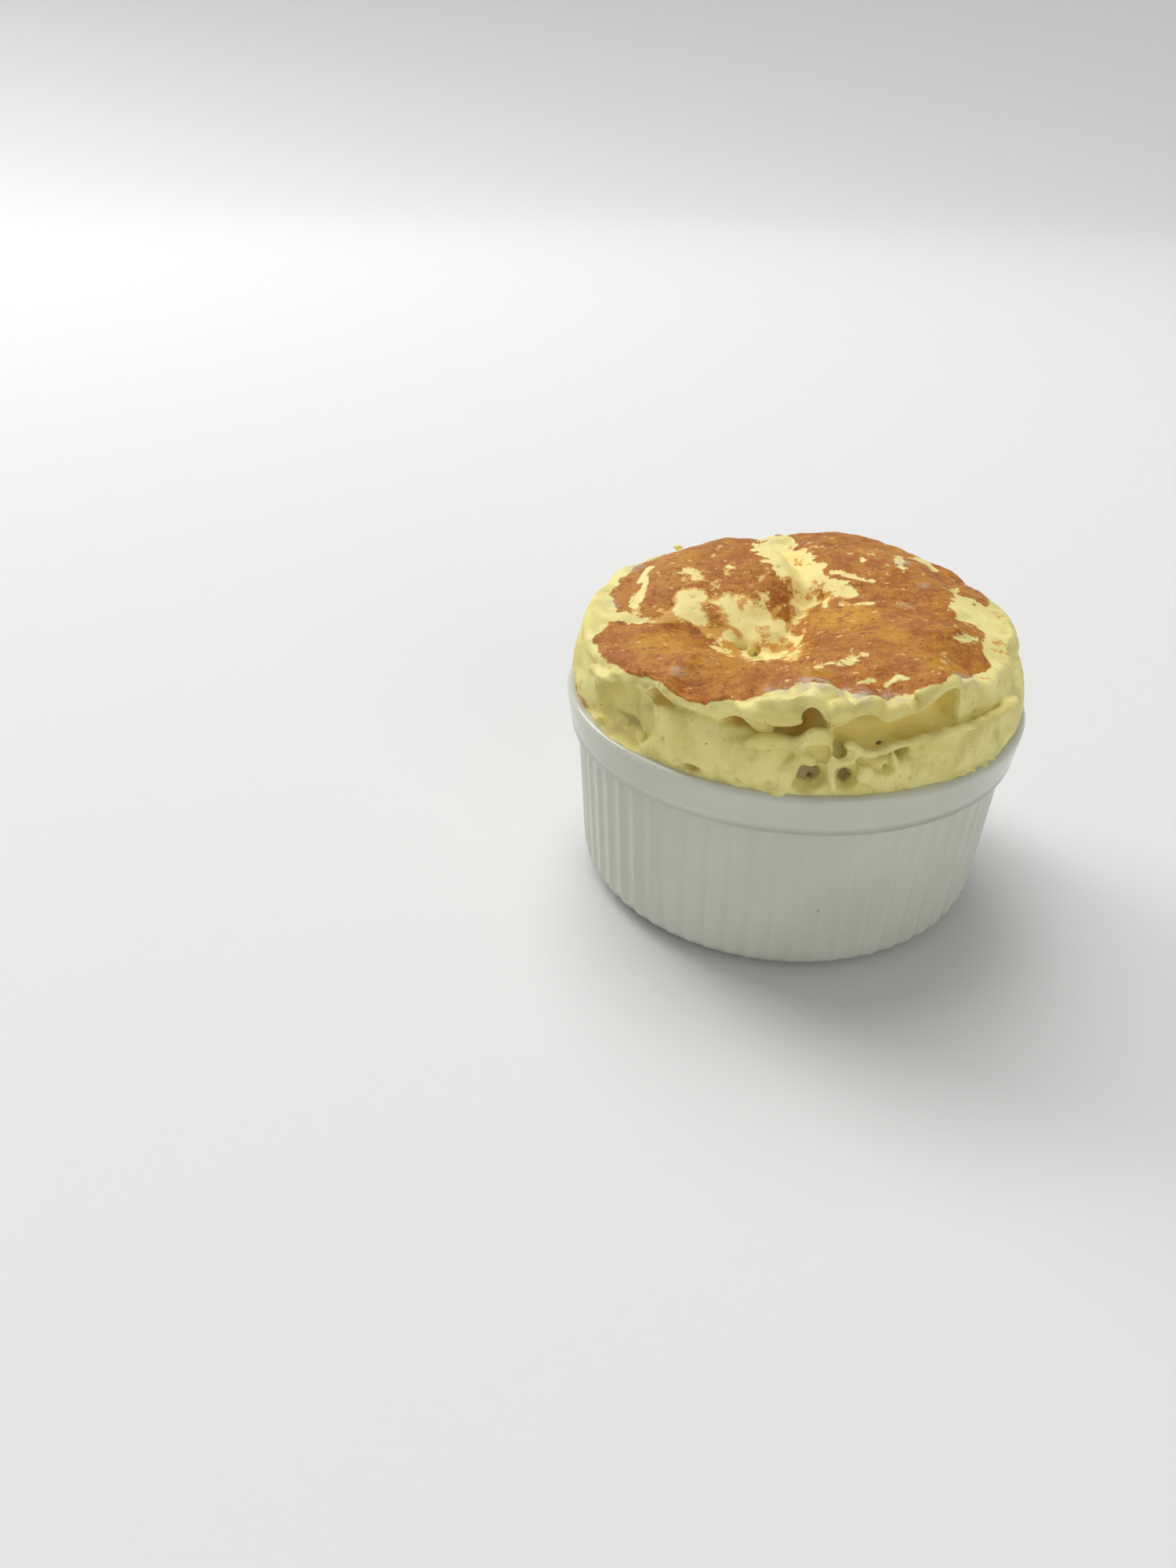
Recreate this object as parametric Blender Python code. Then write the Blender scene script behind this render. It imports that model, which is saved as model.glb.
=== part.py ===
"""A risen souffle in its fluted ramekin.

Two solids: the ramekin, and the souffle that fills it, climbs over its rim and carries a
domed crust with a sunken middle. Run it in Blender 4.5, with --background --python or
from the text editor.

The frame: metres, +Z up, origin at the middle of the ramekin's base. Azimuths are in
degrees about +Z: 0 is the right side, 90 the back, 180 the left side and -90 the front.
"""

import math

import bmesh
import bpy
from mathutils import Matrix, Vector, noise

MM = 0.001  # every length below is a number of millimetres times this

# Ramekin
RIM_RADIUS = 45.0 * MM
RAMEKIN_HEIGHT = 42.3 * MM
BAND_HEIGHT = 7.7 * MM
BAND_FOOT_RADIUS = 44.2 * MM
WALL_TOP_RADIUS = 42.3 * MM
WALL_FOOT_RADIUS = 40.9 * MM
BASE_ROUND = 6.0 * MM
FOOT_RING_WIDTH = 3.0 * MM
BASE_RECESS = 0.9 * MM
RIM_ROUND = 1.1 * MM
FLOOR_THICKNESS = 4.5 * MM
MOUTH_RADIUS = 38.8 * MM
INSIDE_FLOOR_RADIUS = 36.8 * MM
INSIDE_ROUND = 4.0 * MM
MOUTH_FLARE = 2.0 * MM
RIB_COUNT = 62
RIB_SHAPE = (1.0, 0.3, 0.0, 0.3)  # one flute's columns, from ridge to ridge
RIB_HEIGHT = 0.7 * MM
BAND_STEPS = 88
CAVITY_STEPS = 64
RECESS_STEPS = 36

# Souffle
FIT_GAP = 0.3 * MM
SOUFFLE_STEPS = 360
SOUFFLE_ROWS = (("side", 16), ("slit", 10), ("lip", 9), ("top", 26))
SOUFFLE_TRIANGLES = 8300  # what is left of the turned grid once its flatter parts are merged
LUMP_SIZE = 9.0 * MM
LUMP_HEIGHT = 0.55 * MM

# Each row is (azimuth, half width in degrees, amount in millimetres), one swelling of the
# value that stands above it. The front ones are the folds and drips that show most.
FOOT_RADIUS = 43.3 * MM
FOOT_SWELLS = (
    (-136, 18, -0.9),
    (-92, 30, 0.2),
    (-15, 40, 0.7),
    (95, 30, -0.9),
    (165, 28, 0.5),
)
LEDGE_HEIGHT = 51.9 * MM
LEDGE_SWELLS = (
    (-82.5, 5, 2.6),
    (-112, 20, 1.0),
    (-68, 9, -0.9),
    (-140, 14, 0.8),
    (20, 25, -1.2),
    (62, 24, 1.0),
    (112, 22, -1.6),
    (150, 18, 0.9),
)
LEDGE_RADIUS = 43.0 * MM
LEDGE_RADIUS_SWELLS = (
    (-137, 17, -1.3),
    (-100, 26, 0.3),
    (-20, 30, -0.3),
    (40, 20, 0.5),
    (100, 25, -0.7),
    (178, 30, 0.8),
)
BULGE = 1.0 * MM
BULGE_SWELLS = (
    (-137, 17, -2.6),
    (-92, 32, 0.2),
    (60, 22, 0.6),
    (100, 16, -1.3),
    (135, 14, 0.4),
)
OPENING = 0.45 * MM
OPENING_SWELLS = (
    (-121.5, 5, 2.1),
    (-100.5, 5, 1.9),
    (12, 9, 1.1),
    (44, 12, 2.3),
    (86, 15, 2.8),
    (126, 11, 2.0),
    (158, 9, 1.5),
    (-163, 8, 1.2),
)
# The long slit at the front: where it starts and ends, and the height of the lip over it
LONG_SLIT = (-92.3, -48.7)
LONG_SLIT_END_SOFTNESS = 1.8
LONG_SLIT_LIP_HEIGHT = 56.7 * MM
LONG_SLIT_DRIPS = (
    (-90.0, 5.5, -2.2),
    (-84.3, 3.4, 1.6),
    (-78.6, 4.4, -2.0),
    (-72.5, 3.5, 0.6),
    (-66.0, 5.5, -1.6),
    (-60.5, 3.0, -0.4),
    (-51.5, 9.0, 2.9),
)
SLIT_DEPTH_PER_OPENING = 1.5
DEEPEST_SLIT = 7.0 * MM
LIP_RADIUS = 42.4 * MM
LIP_RADIUS_SWELLS = (
    (-80, 14, 0.5),
    (-112, 12, 0.5),
    (-64, 9, 0.6),
    (-10, 30, -0.9),
    (86, 18, 0.7),
    (175, 26, 0.6),
)
LIP_BELLY = 0.7 * MM
LIP_THICKNESS = 1.8 * MM
CRUST_EDGE_RADIUS = 40.6 * MM
CRUST_EDGE_SWELLS = (
    (-5, 35, -1.0),
    (-84, 16, -0.9),
    (-112, 12, 0.5),
    (40, 16, 0.5),
    (130, 16, 0.7),
)
CRUST_EDGE_HEIGHT = 56.4 * MM
CRUST_HEIGHT_SWELLS = (
    (76, 42, 3.2),
    (-84, 17, 3.6),
    (-50, 18, 3.3),
    (-112, 10, -1.3),
    (-131, 9, 0.5),
    (-152, 14, -0.9),
    (168, 20, -1.2),
    (0, 24, 0.7),
)

# Top of the souffle: (x, y, radius along, radius across, turn in degrees, height, softness)
TOP_HEIGHT = 58.3 * MM
MOUNDS = (
    (-18, 11, 14.5, 18, 8, 2.8, 0.32),
    (-30, 20, 12, 16, 40, -0.9, 0.8),
    (9, 27, 24, 17, -10, 2.3, 0.8),
    (21, 3, 17, 20, 0, 1.3, 0.8),
    (31, 22, 9, 15, 25, -0.9, 0.6),
    (18, -20, 19, 13, 18, 1.5, 0.7),
    (-19, -25, 20, 7.5, -18, 1.6, 0.8),
    (-17, -38, 20, 7, -10, -1.6, 0.8),
    (-8, -10, 17, 13, 20, -3.9, 0.8),
    (-7, -15, 8, 6, 10, -1.4, 0.8),
    (-34, -6, 6, 9, 0, -1.2, 0.7),
)
# Valleys: (start x, start y, end x, end y, half width, depth)
VALLEYS = (
    (-9, 44, -5, 22, 6.0, 2.6),
    (-5, 22, -1, 2, 5.5, 3.2),
    (-1, 2, -4, -10, 5.0, 1.4),
    (-3, -22, 9, -34, 3.5, 1.6),
    (-38, -10, -20, -13, 3.5, 1.5),
    (27, 27, 30, 12, 3.0, 0.9),
    (38, -2, 26, -2, 3.0, 0.8),
)
# Hollows in the side, and the swellings between them where the depth is negative:
# (azimuth, height, half width in degrees, half height, depth, softness)
SIDE_HOLLOWS = (
    (-84.0, 45.3, 4.6, 2.5, 3.2, 0.5),
    (-75.4, 44.9, 2.3, 1.9, 2.6, 0.5),
    (-67.3, 50.2, 1.9, 2.0, 2.2, 0.5),
    (-63.2, 49.2, 1.7, 1.7, 2.2, 0.5),
    (-66.0, 46.6, 1.5, 1.1, 1.4, 0.6),
    (-110.5, 43.6, 3.6, 0.8, 1.6, 0.6),
    (-99.5, 51.6, 4.0, 1.6, 1.0, 0.8),
    (-83.0, 50.0, 5.5, 2.4, -0.8, 0.9),
    (-79.0, 46.8, 2.4, 3.4, -0.9, 0.9),
    (-71.5, 46.8, 3.2, 4.0, -0.9, 0.9),
    (-70.5, 51.3, 3.2, 1.3, -0.8, 0.9),
    (-104.0, 48.0, 13.0, 3.6, -0.6, 0.9),
    (-10.0, 55.5, 8.0, 3.4, 1.2, 0.8),
    (-30.0, 47.0, 7.0, 2.4, 0.8, 0.9),
    (24.0, 47.5, 5.5, 2.4, 2.4, 0.5),
    (36.0, 45.2, 3.0, 1.7, 2.2, 0.5),
    (58.0, 49.2, 2.6, 1.7, 2.2, 0.5),
    (72.0, 46.0, 4.0, 2.3, 2.8, 0.5),
    (66.0, 48.6, 4.5, 3.0, -0.8, 0.9),
    (104.0, 48.5, 6.5, 2.2, 1.6, 0.8),
    (121.0, 45.0, 2.6, 1.6, 2.2, 0.5),
    (141.0, 46.5, 4.2, 2.5, 2.8, 0.5),
    (150.0, 49.0, 4.5, 3.0, -0.7, 0.9),
    (-158.0, 48.0, 6.0, 2.2, 0.6, 0.9),
)

CRUST_BROWN = (0.50, 0.20, 0.05, 1.0)
PORCELAIN_WHITE = (0.78, 0.78, 0.74, 1.0)


def clear_scene():
    for obj in list(bpy.data.objects):
        bpy.data.objects.remove(obj, do_unlink=True)


def smooth(t):
    """An eased step from 0 to 1."""
    t = min(1.0, max(0.0, t))
    return t * t * (3.0 - 2.0 * t)


def mix(a, b, t):
    return a + (b - a) * t


def turn(azimuth, centre):
    """The angle from centre to azimuth, from -180 to 180."""
    return (azimuth - centre + 180.0) % 360.0 - 180.0


def swell(azimuth, centre, half_width):
    d = abs(turn(azimuth, centre)) / half_width
    return (1.0 - d * d) ** 2 if d < 1.0 else 0.0


def around(azimuth, base, swells):
    """A value that swells and shrinks round the souffle."""
    return base + sum(amount * MM * swell(azimuth, c, w) for c, w, amount in swells)


def stretch(azimuth, start, end, soft):
    """1 between two azimuths, easing to 0 over soft degrees past each."""
    past = abs(turn(azimuth, (start + end) / 2)) - (end - start) / 2
    return smooth(1.0 - past / soft)


def lip_height(azimuth, ledge):
    """The underside of the lip that the crust makes over the ledge below it."""
    short = ledge + around(azimuth, OPENING, OPENING_SWELLS)
    long = around(azimuth, LONG_SLIT_LIP_HEIGHT, LONG_SLIT_DRIPS)
    inside = stretch(azimuth, *LONG_SLIT, LONG_SLIT_END_SOFTNESS)
    return mix(short, max(short, long), inside)


def at_least(value, least, blend):
    """The larger of two lengths, with no crease where they cross."""
    overlap = max(0.0, 1.0 - abs(value - least) / blend)
    return max(value, least) + overlap * overlap * blend / 4.0


def mound(x, y, row):
    """A flat-topped dome, or a sunken one where its height is negative."""
    cx, cy, along, across, degrees, height, soft = row
    c, s = math.cos(math.radians(degrees)), math.sin(math.radians(degrees))
    dx, dy = x / MM - cx, y / MM - cy
    q = math.hypot((dx * c + dy * s) / along, (dy * c - dx * s) / across)
    return height * MM * (1.0 - smooth((q - 1.0 + soft) / (2.0 * soft)))


def valley(x, y, row):
    """A rounded groove along a line, as a negative height."""
    x0, y0, x1, y1, half_width, depth = row
    start, run = Vector((x0, y0)), Vector((x1 - x0, y1 - y0))
    t = (Vector((x / MM, y / MM)) - start).dot(run) / run.length_squared
    foot = start + run * min(1.0, max(0.0, t))
    d = (Vector((x / MM, y / MM)) - foot).length / half_width
    return -depth * MM * (1.0 - d * d) ** 2 if d < 1.0 else 0.0


def top_height(x, y):
    """The height of the crust inside its edge."""
    rise = sum(mound(x, y, row) for row in MOUNDS)
    return TOP_HEIGHT + rise + sum(valley(x, y, row) for row in VALLEYS)


def inside_profile():
    """The ramekin's inside, from its floor's edge to its mouth, as (radius, height)."""
    points = []
    for k in range(4):
        a = math.radians(30 * k)
        r = INSIDE_FLOOR_RADIUS - INSIDE_ROUND * (1.0 - math.sin(a))
        points.append((r, FLOOR_THICKNESS + INSIDE_ROUND * (1.0 - math.cos(a))))
    points.append((MOUTH_RADIUS, RAMEKIN_HEIGHT - 1.4 * MOUTH_FLARE))
    points.append((MOUTH_RADIUS + 0.35 * MOUTH_FLARE, RAMEKIN_HEIGHT - 0.5 * MOUTH_FLARE))
    points.append((MOUTH_RADIUS + MOUTH_FLARE, RAMEKIN_HEIGHT))
    return points


def wall_profile():
    """The fluted wall and the base, as (radius, height, how much of a rib stands there)."""
    ring = WALL_FOOT_RADIUS - BASE_ROUND
    points = [(0.0, 0.0, 0.0), (ring, 0.0, 0.0)]
    for k, share in ((1, 0.1), (2, 0.6), (3, 1.0)):
        a = math.radians(30 * k)
        points.append((ring + BASE_ROUND * math.sin(a), BASE_ROUND * (1.0 - math.cos(a)), share))
    band_foot = RAMEKIN_HEIGHT - BAND_HEIGHT
    points.append((WALL_TOP_RADIUS, band_foot - 1.2 * MM, 1.0))
    points.append((WALL_TOP_RADIUS + RIB_HEIGHT, band_foot + 0.2 * MM, 0.0))
    points.append((0.0, band_foot + 0.2 * MM, 0.0))
    return points


def band_profile():
    """The smooth band round the top and its rounded rim."""
    band_foot = RAMEKIN_HEIGHT - BAND_HEIGHT
    points = [
        (0.0, band_foot),
        (BAND_FOOT_RADIUS - 0.3 * MM, band_foot),
        (BAND_FOOT_RADIUS, band_foot + 0.4 * MM),
    ]
    for k in range(4):
        a = math.radians(30 * k)
        r = RIM_RADIUS - RIM_ROUND * (1.0 - math.cos(a))
        points.append((r, RAMEKIN_HEIGHT - RIM_ROUND * (1.0 - math.sin(a))))
    return [*points, (0.0, RAMEKIN_HEIGHT)]


def souffle_rows():
    """The stations of the souffle's section, bottom to top, as (zone, place from 0 to 1)."""
    rows = [("core", k) for k in range(len(inside_profile()) + 2)]
    for zone, count in SOUFFLE_ROWS:
        rows += [(zone, (k + 1) / count) for k in range(count)]
    return rows


def core_point(k, foot):
    """The hidden part, which lies just inside the ramekin and then on its rim."""
    profile = inside_profile()
    if k == 0:
        return 0.0, FLOOR_THICKNESS + FIT_GAP
    if k <= len(profile):
        r, z = profile[k - 1]
        return r - FIT_GAP, z + FIT_GAP
    return foot, RAMEKIN_HEIGHT + FIT_GAP


def souffle_point(zone, t, azimuth):
    """(radius, height) of the souffle's section at a station and an azimuth."""
    foot = around(azimuth, FOOT_RADIUS, FOOT_SWELLS)
    if zone == "core":
        return core_point(t, foot)
    ledge_z = around(azimuth, LEDGE_HEIGHT, LEDGE_SWELLS)
    ledge_r = around(azimuth, LEDGE_RADIUS, LEDGE_RADIUS_SWELLS)
    if zone == "side":
        bulge = around(azimuth, BULGE, BULGE_SWELLS) * math.sin(math.pi * t ** 0.75)
        return mix(foot, ledge_r, t) + bulge, mix(RAMEKIN_HEIGHT + FIT_GAP, ledge_z, t)
    lip_z = lip_height(azimuth, ledge_z)
    lip_r = around(azimuth, LIP_RADIUS, LIP_RADIUS_SWELLS)
    if zone == "slit":
        depth = min(DEEPEST_SLIT, SLIT_DEPTH_PER_OPENING * (lip_z - ledge_z))
        r = mix(ledge_r, lip_r, t) - depth * math.sin(math.pi * t) ** 0.6
        return r, mix(ledge_z, lip_z, smooth(t))
    edge_z = around(azimuth, CRUST_EDGE_HEIGHT, CRUST_HEIGHT_SWELLS)
    edge_z = at_least(edge_z, lip_z + LIP_THICKNESS, 2.0 * MM)
    edge_r = around(azimuth, CRUST_EDGE_RADIUS, CRUST_EDGE_SWELLS)
    if zone == "lip":
        belly = LIP_BELLY * math.sin(math.pi * t)
        return mix(lip_r, edge_r, t ** 1.6) + belly, mix(lip_z, edge_z, t)
    a = math.radians(azimuth)
    r = edge_r * (1.0 - t)
    inner = top_height(r * math.cos(a), r * math.sin(a))
    at_edge = top_height(edge_r * math.cos(a), edge_r * math.sin(a))
    return r, inner + (edge_z - at_edge) * smooth(1.0 - t * 3.2)


def hollow_depth(azimuth, height):
    """How far the hollows in the side sink it at a place."""
    depth = 0.0
    for centre, z, half_width, half_height, deep, soft in SIDE_HOLLOWS:
        across = turn(azimuth, centre) / half_width
        if abs(across) < 1.0:
            q = math.hypot(across, (height / MM - z) / half_height)
            depth += deep * MM * (1.0 - smooth((q - 1.0 + soft) / soft))
    return depth


def lumps(place):
    """Uneven swelling of the crumb, at two sizes."""
    large = noise.noise(place / LUMP_SIZE)
    small = noise.noise(place / (0.45 * LUMP_SIZE) + Vector((7.0, 3.0, 1.0)))
    return LUMP_HEIGHT * (large + 0.5 * small)


def spun(profile, steps):
    """A bmesh turned about Z from (radius, height) points that start and end on the axis."""
    bm = bmesh.new()
    verts = [bm.verts.new((r, 0.0, z)) for r, z in profile]
    edges = [bm.edges.new(pair) for pair in zip(verts, verts[1:])]
    bmesh.ops.spin(
        bm, geom=verts + edges, cent=(0, 0, 0), axis=(0, 0, 1), dvec=(0, 0, 0),
        angle=math.tau, steps=steps, use_merge=True, use_duplicate=False,
    )
    bmesh.ops.remove_doubles(bm, verts=bm.verts, dist=0.02 * MM)
    bmesh.ops.recalc_face_normals(bm, faces=bm.faces)
    return bm


def to_object(name, bm, material, collection, smooth_angle):
    mesh = bpy.data.meshes.new(name)
    bm.to_mesh(mesh)
    bm.free()
    mesh.materials.append(material)
    obj = bpy.data.objects.new(name, mesh)
    collection.objects.link(obj)
    mesh.shade_smooth()
    mesh.set_sharp_from_angle(angle=math.radians(smooth_angle))
    return obj


def new_material(name, colour, roughness):
    material = bpy.data.materials.new(name)
    material.use_nodes = True
    shader = material.node_tree.nodes["Principled BSDF"]
    shader.inputs["Base Color"].default_value = colour
    shader.inputs["Roughness"].default_value = roughness
    shader.inputs["Metallic"].default_value = 0.0
    return material


def raise_ribs(bm, profile):
    """Pushes the wall's columns out to the ribs' shape, which leaves flutes between them."""
    step = math.tau / (RIB_COUNT * len(RIB_SHAPE))
    ribbed = {round(z / MM, 3): share for r, z, share in profile if share > 0.0}
    for vert in bm.verts:
        share = ribbed.get(round(vert.co.z / MM, 3), 0.0)
        if share:
            column = round(math.atan2(vert.co.y, vert.co.x) / step)
            radius = vert.co.xy.length
            rib = share * RIB_HEIGHT * RIB_SHAPE[column % len(RIB_SHAPE)]
            vert.co.xy *= (radius + rib) / radius


def use_tool(target, tool, operation):
    tool.hide_render = True
    tool.display_type = "WIRE"
    boolean = target.modifiers.new(tool.name, "BOOLEAN")
    boolean.operation = operation
    boolean.object = tool


def build_ramekin(collection, cutters):
    """The fluted wall, recessed underneath, joined with the band and hollowed."""
    porcelain = new_material("porcelain", PORCELAIN_WHITE, 0.15)
    profile = wall_profile()
    wall = spun([(r, z) for r, z, _ in profile], RIB_COUNT * len(RIB_SHAPE))
    raise_ribs(wall, profile)
    ramekin = to_object("ramekin", wall, porcelain, collection, 35)

    recess_radius = WALL_FOOT_RADIUS - BASE_ROUND - FOOT_RING_WIDTH
    recess = spun(
        [
            (0.0, -BASE_RECESS),
            (recess_radius + BASE_RECESS, -BASE_RECESS),
            (recess_radius - BASE_RECESS, BASE_RECESS),
            (0.0, BASE_RECESS),
        ],
        RECESS_STEPS,
    )
    use_tool(ramekin, to_object("recess", recess, porcelain, cutters, 35), "DIFFERENCE")

    band = spun(band_profile(), BAND_STEPS)
    use_tool(ramekin, to_object("band", band, porcelain, cutters, 35), "UNION")

    inside = inside_profile()
    above = RAMEKIN_HEIGHT + 2.0 * MM
    mouth = (inside[-1][0] + 0.6 * MM, above)
    cavity = spun([(0.0, FLOOR_THICKNESS), *inside, mouth, (0.0, above)], CAVITY_STEPS)
    use_tool(ramekin, to_object("cavity", cavity, porcelain, cutters, 35), "DIFFERENCE")


def build_souffle(collection):
    """A plain turned form whose rows and columns are then carried to the real section."""
    rows = souffle_rows()
    last = len(rows) - 1
    sleeve = [(0.0 if k in (0, last) else 1.0, float(k)) for k in range(len(rows))]
    bm = spun(sleeve, SOUFFLE_STEPS)
    for vert in bm.verts:
        zone, t = rows[round(vert.co.z)]
        azimuth = math.degrees(math.atan2(vert.co.y, vert.co.x))
        radius, height = souffle_point(zone, t, azimuth)
        out = Matrix.Rotation(math.radians(azimuth), 3, "Z") @ Vector((1, 0, 0))
        place = out * radius + Vector((0, 0, height))
        if zone == "side":
            fade = math.sin(math.pi * t)
            place += out * (fade * lumps(place) - hollow_depth(azimuth, height))
        elif zone == "lip":
            place += out * (0.7 * lumps(place) - hollow_depth(azimuth, height))
        elif zone == "top":
            place.z += 0.6 * lumps(place)
        vert.co = place
    share = SOUFFLE_TRIANGLES / sum(len(face.verts) - 2 for face in bm.faces)
    crust = new_material("souffle", CRUST_BROWN, 0.55)
    souffle = to_object("souffle", bm, crust, collection, 50)
    souffle.modifiers.new("merge_flat_parts", "DECIMATE").ratio = share


def main():
    clear_scene()
    collection = bpy.data.collections.new("souffle_in_ramekin")
    cutters = bpy.data.collections.new("cutters")
    for made in (collection, cutters):
        bpy.context.scene.collection.children.link(made)
    build_ramekin(collection, cutters)
    build_souffle(collection)


main()
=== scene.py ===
"""The finished look of a risen souffle in its fluted white ramekin.

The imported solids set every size. Two pieces replace them: the ramekin, turned with smooth
flutes and glazed, and the souffle, whose folds, drips and pores are shaped here in full.

The frame: metres, +Z up, origin at the middle of the ramekin's base. Azimuths are in
degrees about +Z: 0 is the right side, 90 the back, 180 the left side and -90 the front.
The souffle's own measures are in millimetres until its mesh is placed.
"""

import itertools
import math
import random

import bmesh
import bpy
import numpy as np
from mathutils import Matrix, Vector


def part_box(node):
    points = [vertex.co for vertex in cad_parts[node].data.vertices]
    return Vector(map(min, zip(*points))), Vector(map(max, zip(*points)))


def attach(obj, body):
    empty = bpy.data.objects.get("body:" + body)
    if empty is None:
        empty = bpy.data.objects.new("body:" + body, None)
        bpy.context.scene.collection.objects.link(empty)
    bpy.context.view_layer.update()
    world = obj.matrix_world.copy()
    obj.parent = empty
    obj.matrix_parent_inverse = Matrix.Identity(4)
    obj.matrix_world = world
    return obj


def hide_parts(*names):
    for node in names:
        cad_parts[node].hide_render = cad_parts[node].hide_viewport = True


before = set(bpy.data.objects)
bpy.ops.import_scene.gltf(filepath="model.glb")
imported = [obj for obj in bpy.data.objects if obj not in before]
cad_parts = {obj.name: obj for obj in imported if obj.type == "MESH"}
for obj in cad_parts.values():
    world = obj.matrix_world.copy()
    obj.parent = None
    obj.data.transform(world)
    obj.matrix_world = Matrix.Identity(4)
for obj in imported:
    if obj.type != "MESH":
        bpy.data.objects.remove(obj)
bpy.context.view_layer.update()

MM = 0.001
RIM_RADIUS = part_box("ramekin")[1].x
RAMEKIN_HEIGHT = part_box("ramekin")[1].z
SCALE = RIM_RADIUS / (45.0 * MM)  # the sizes below are those of a dish 90 mm across

# The ramekin, in millimetres
BAND_HEIGHT = 7.7
BAND_FOOT_RADIUS = 44.2
WALL_TOP_RADIUS = 42.3
WALL_FOOT_RADIUS = 40.9
BASE_ROUND = 6.0
FOOT_RING_WIDTH = 3.0
BASE_RECESS = 0.9
RIM_ROUND = 1.1
FLOOR_THICKNESS = 4.5
MOUTH_RADIUS = 38.8
MOUTH_FLARE = 2.0
RIB_COUNT = 62
RIB_HEIGHT = 0.5
POINTS_PER_RIB = 8
RIB_SHARPNESS = 1.7
FLUTE_ARCH = 0.9  # how far the middle of a flute reaches up past its ridges

# The souffle, in millimetres. Its swells are (azimuth, half width in degrees, amount)
RIM_HEIGHT = RAMEKIN_HEIGHT / MM / SCALE
FIT_GAP = 0.3
FINE_STEPS = 760
FINE_ROWS = (("side", 44), ("slit", 28), ("lip", 24), ("top", 100))
VOXEL = 0.37
TRIANGLES = 196000
PLUG_LEVELS = (  # the hidden plug's corners under the rim: (scale, height)
    (0.990, RIM_HEIGHT - 3.0),
    (0.948, FLOOR_THICKNESS + 5.0),
    (0.885, FLOOR_THICKNESS + FIT_GAP),
)

# The film of batter that dried on the rim outside the souffle's foot
FILM_REACH = 0.55
FILM_SWELLS = (
    (-135, 16, 1.7),
    (-92, 12, 0.35),
    (-48, 8, 0.4),
    (-12, 36, -0.5),
    (100, 24, 0.5),
)
FILM_THICKNESS = 0.5
FILM_SINK = 0.25
WIDEST = 44.95
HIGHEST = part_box("souffle")[1].z / MM / SCALE - 0.03

# The side from the foot up to the ledge, the slit over it, and the lip of the crust
FOOT_RADIUS = 43.1
FOOT_SWELLS = (
    (-136, 18, -0.9),
    (-92, 30, 0.2),
    (-15, 40, 0.7),
    (95, 30, -0.9),
    (165, 28, 0.5),
)
LEDGE_HEIGHT = 51.9
LEDGE_SWELLS = (
    (-82.5, 5, 2.2),
    (-112, 20, 1.0),
    (-68, 9, -0.9),
    (-140, 14, 0.8),
    (20, 25, -1.2),
    (62, 24, 1.0),
    (112, 22, -1.6),
    (150, 18, 0.9),
)
LEDGE_RADIUS = 42.1
LEDGE_RADIUS_SWELLS = (
    (-137, 17, -1.3),
    (-100, 26, 0.3),
    (-20, 30, -0.3),
    (40, 20, 0.5),
    (100, 25, -0.7),
    (178, 30, 0.8),
)
BULGE = 0.7
BULGE_SWELLS = (
    (-137, 16, -1.2),
    (-108, 17, 0.9),
    (60, 22, 0.6),
    (100, 16, -1.3),
    (135, 14, 0.4),
)
OPENING = 0.9
OPENING_SWELLS = (
    (-121.5, 5, 2.1),
    (-100.5, 5, 1.9),
    (-26, 30, -0.6),
    (-10, 34, -0.5),
    (14, 9, 0.6),
    (44, 12, 2.3),
    (86, 15, 2.8),
    (126, 11, 2.0),
    (158, 9, 1.5),
    (-163, 8, 1.2),
)
LONG_SLIT = (-92.3, -48.7)
LONG_SLIT_END_SOFTNESS = 1.1
LONG_SLIT_LIP_HEIGHT = 56.7
LONG_SLIT_DRIPS = (
    (-90.0, 5.5, -2.2),
    (-84.3, 3.4, 1.6),
    (-78.6, 4.4, -2.0),
    (-72.5, 3.5, 0.6),
    (-66.0, 5.5, -1.6),
    (-60.5, 3.0, -0.4),
    (-51.5, 9.0, 2.9),
)
SLIT_DEPTH_PER_OPENING = 1.3
DEEPEST_SLIT = 5.0
LIP_RADIUS = 42.2
LIP_RADIUS_SWELLS = (
    (-80, 14, 0.5),
    (-112, 12, 0.5),
    (-64, 9, 0.6),
    (-42, 12, -0.5),
    (-10, 30, -1.3),
    (86, 18, 0.7),
    (175, 26, -0.5),
)
LIP_BELLY = 0.7
LIP_THICKNESS = 1.8
CRUST_EDGE_RADIUS = 40.6
CRUST_EDGE_SWELLS = (
    (-5, 35, -1.0),
    (-84, 16, -0.9),
    (-112, 12, 0.5),
    (40, 16, 0.5),
    (130, 16, 0.2),
)
CRUST_EDGE_HEIGHT = 56.4
CRUST_HEIGHT_SWELLS = (
    (76, 42, 3.2),
    (-84, 17, 3.6),
    (-50, 18, 3.3),
    (-112, 10, -1.3),
    (-131, 9, 0.5),
    (-152, 14, -0.9),
    (168, 20, -1.2),
    (140, 26, -1.0),
    (0, 24, 0.7),
)

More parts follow.
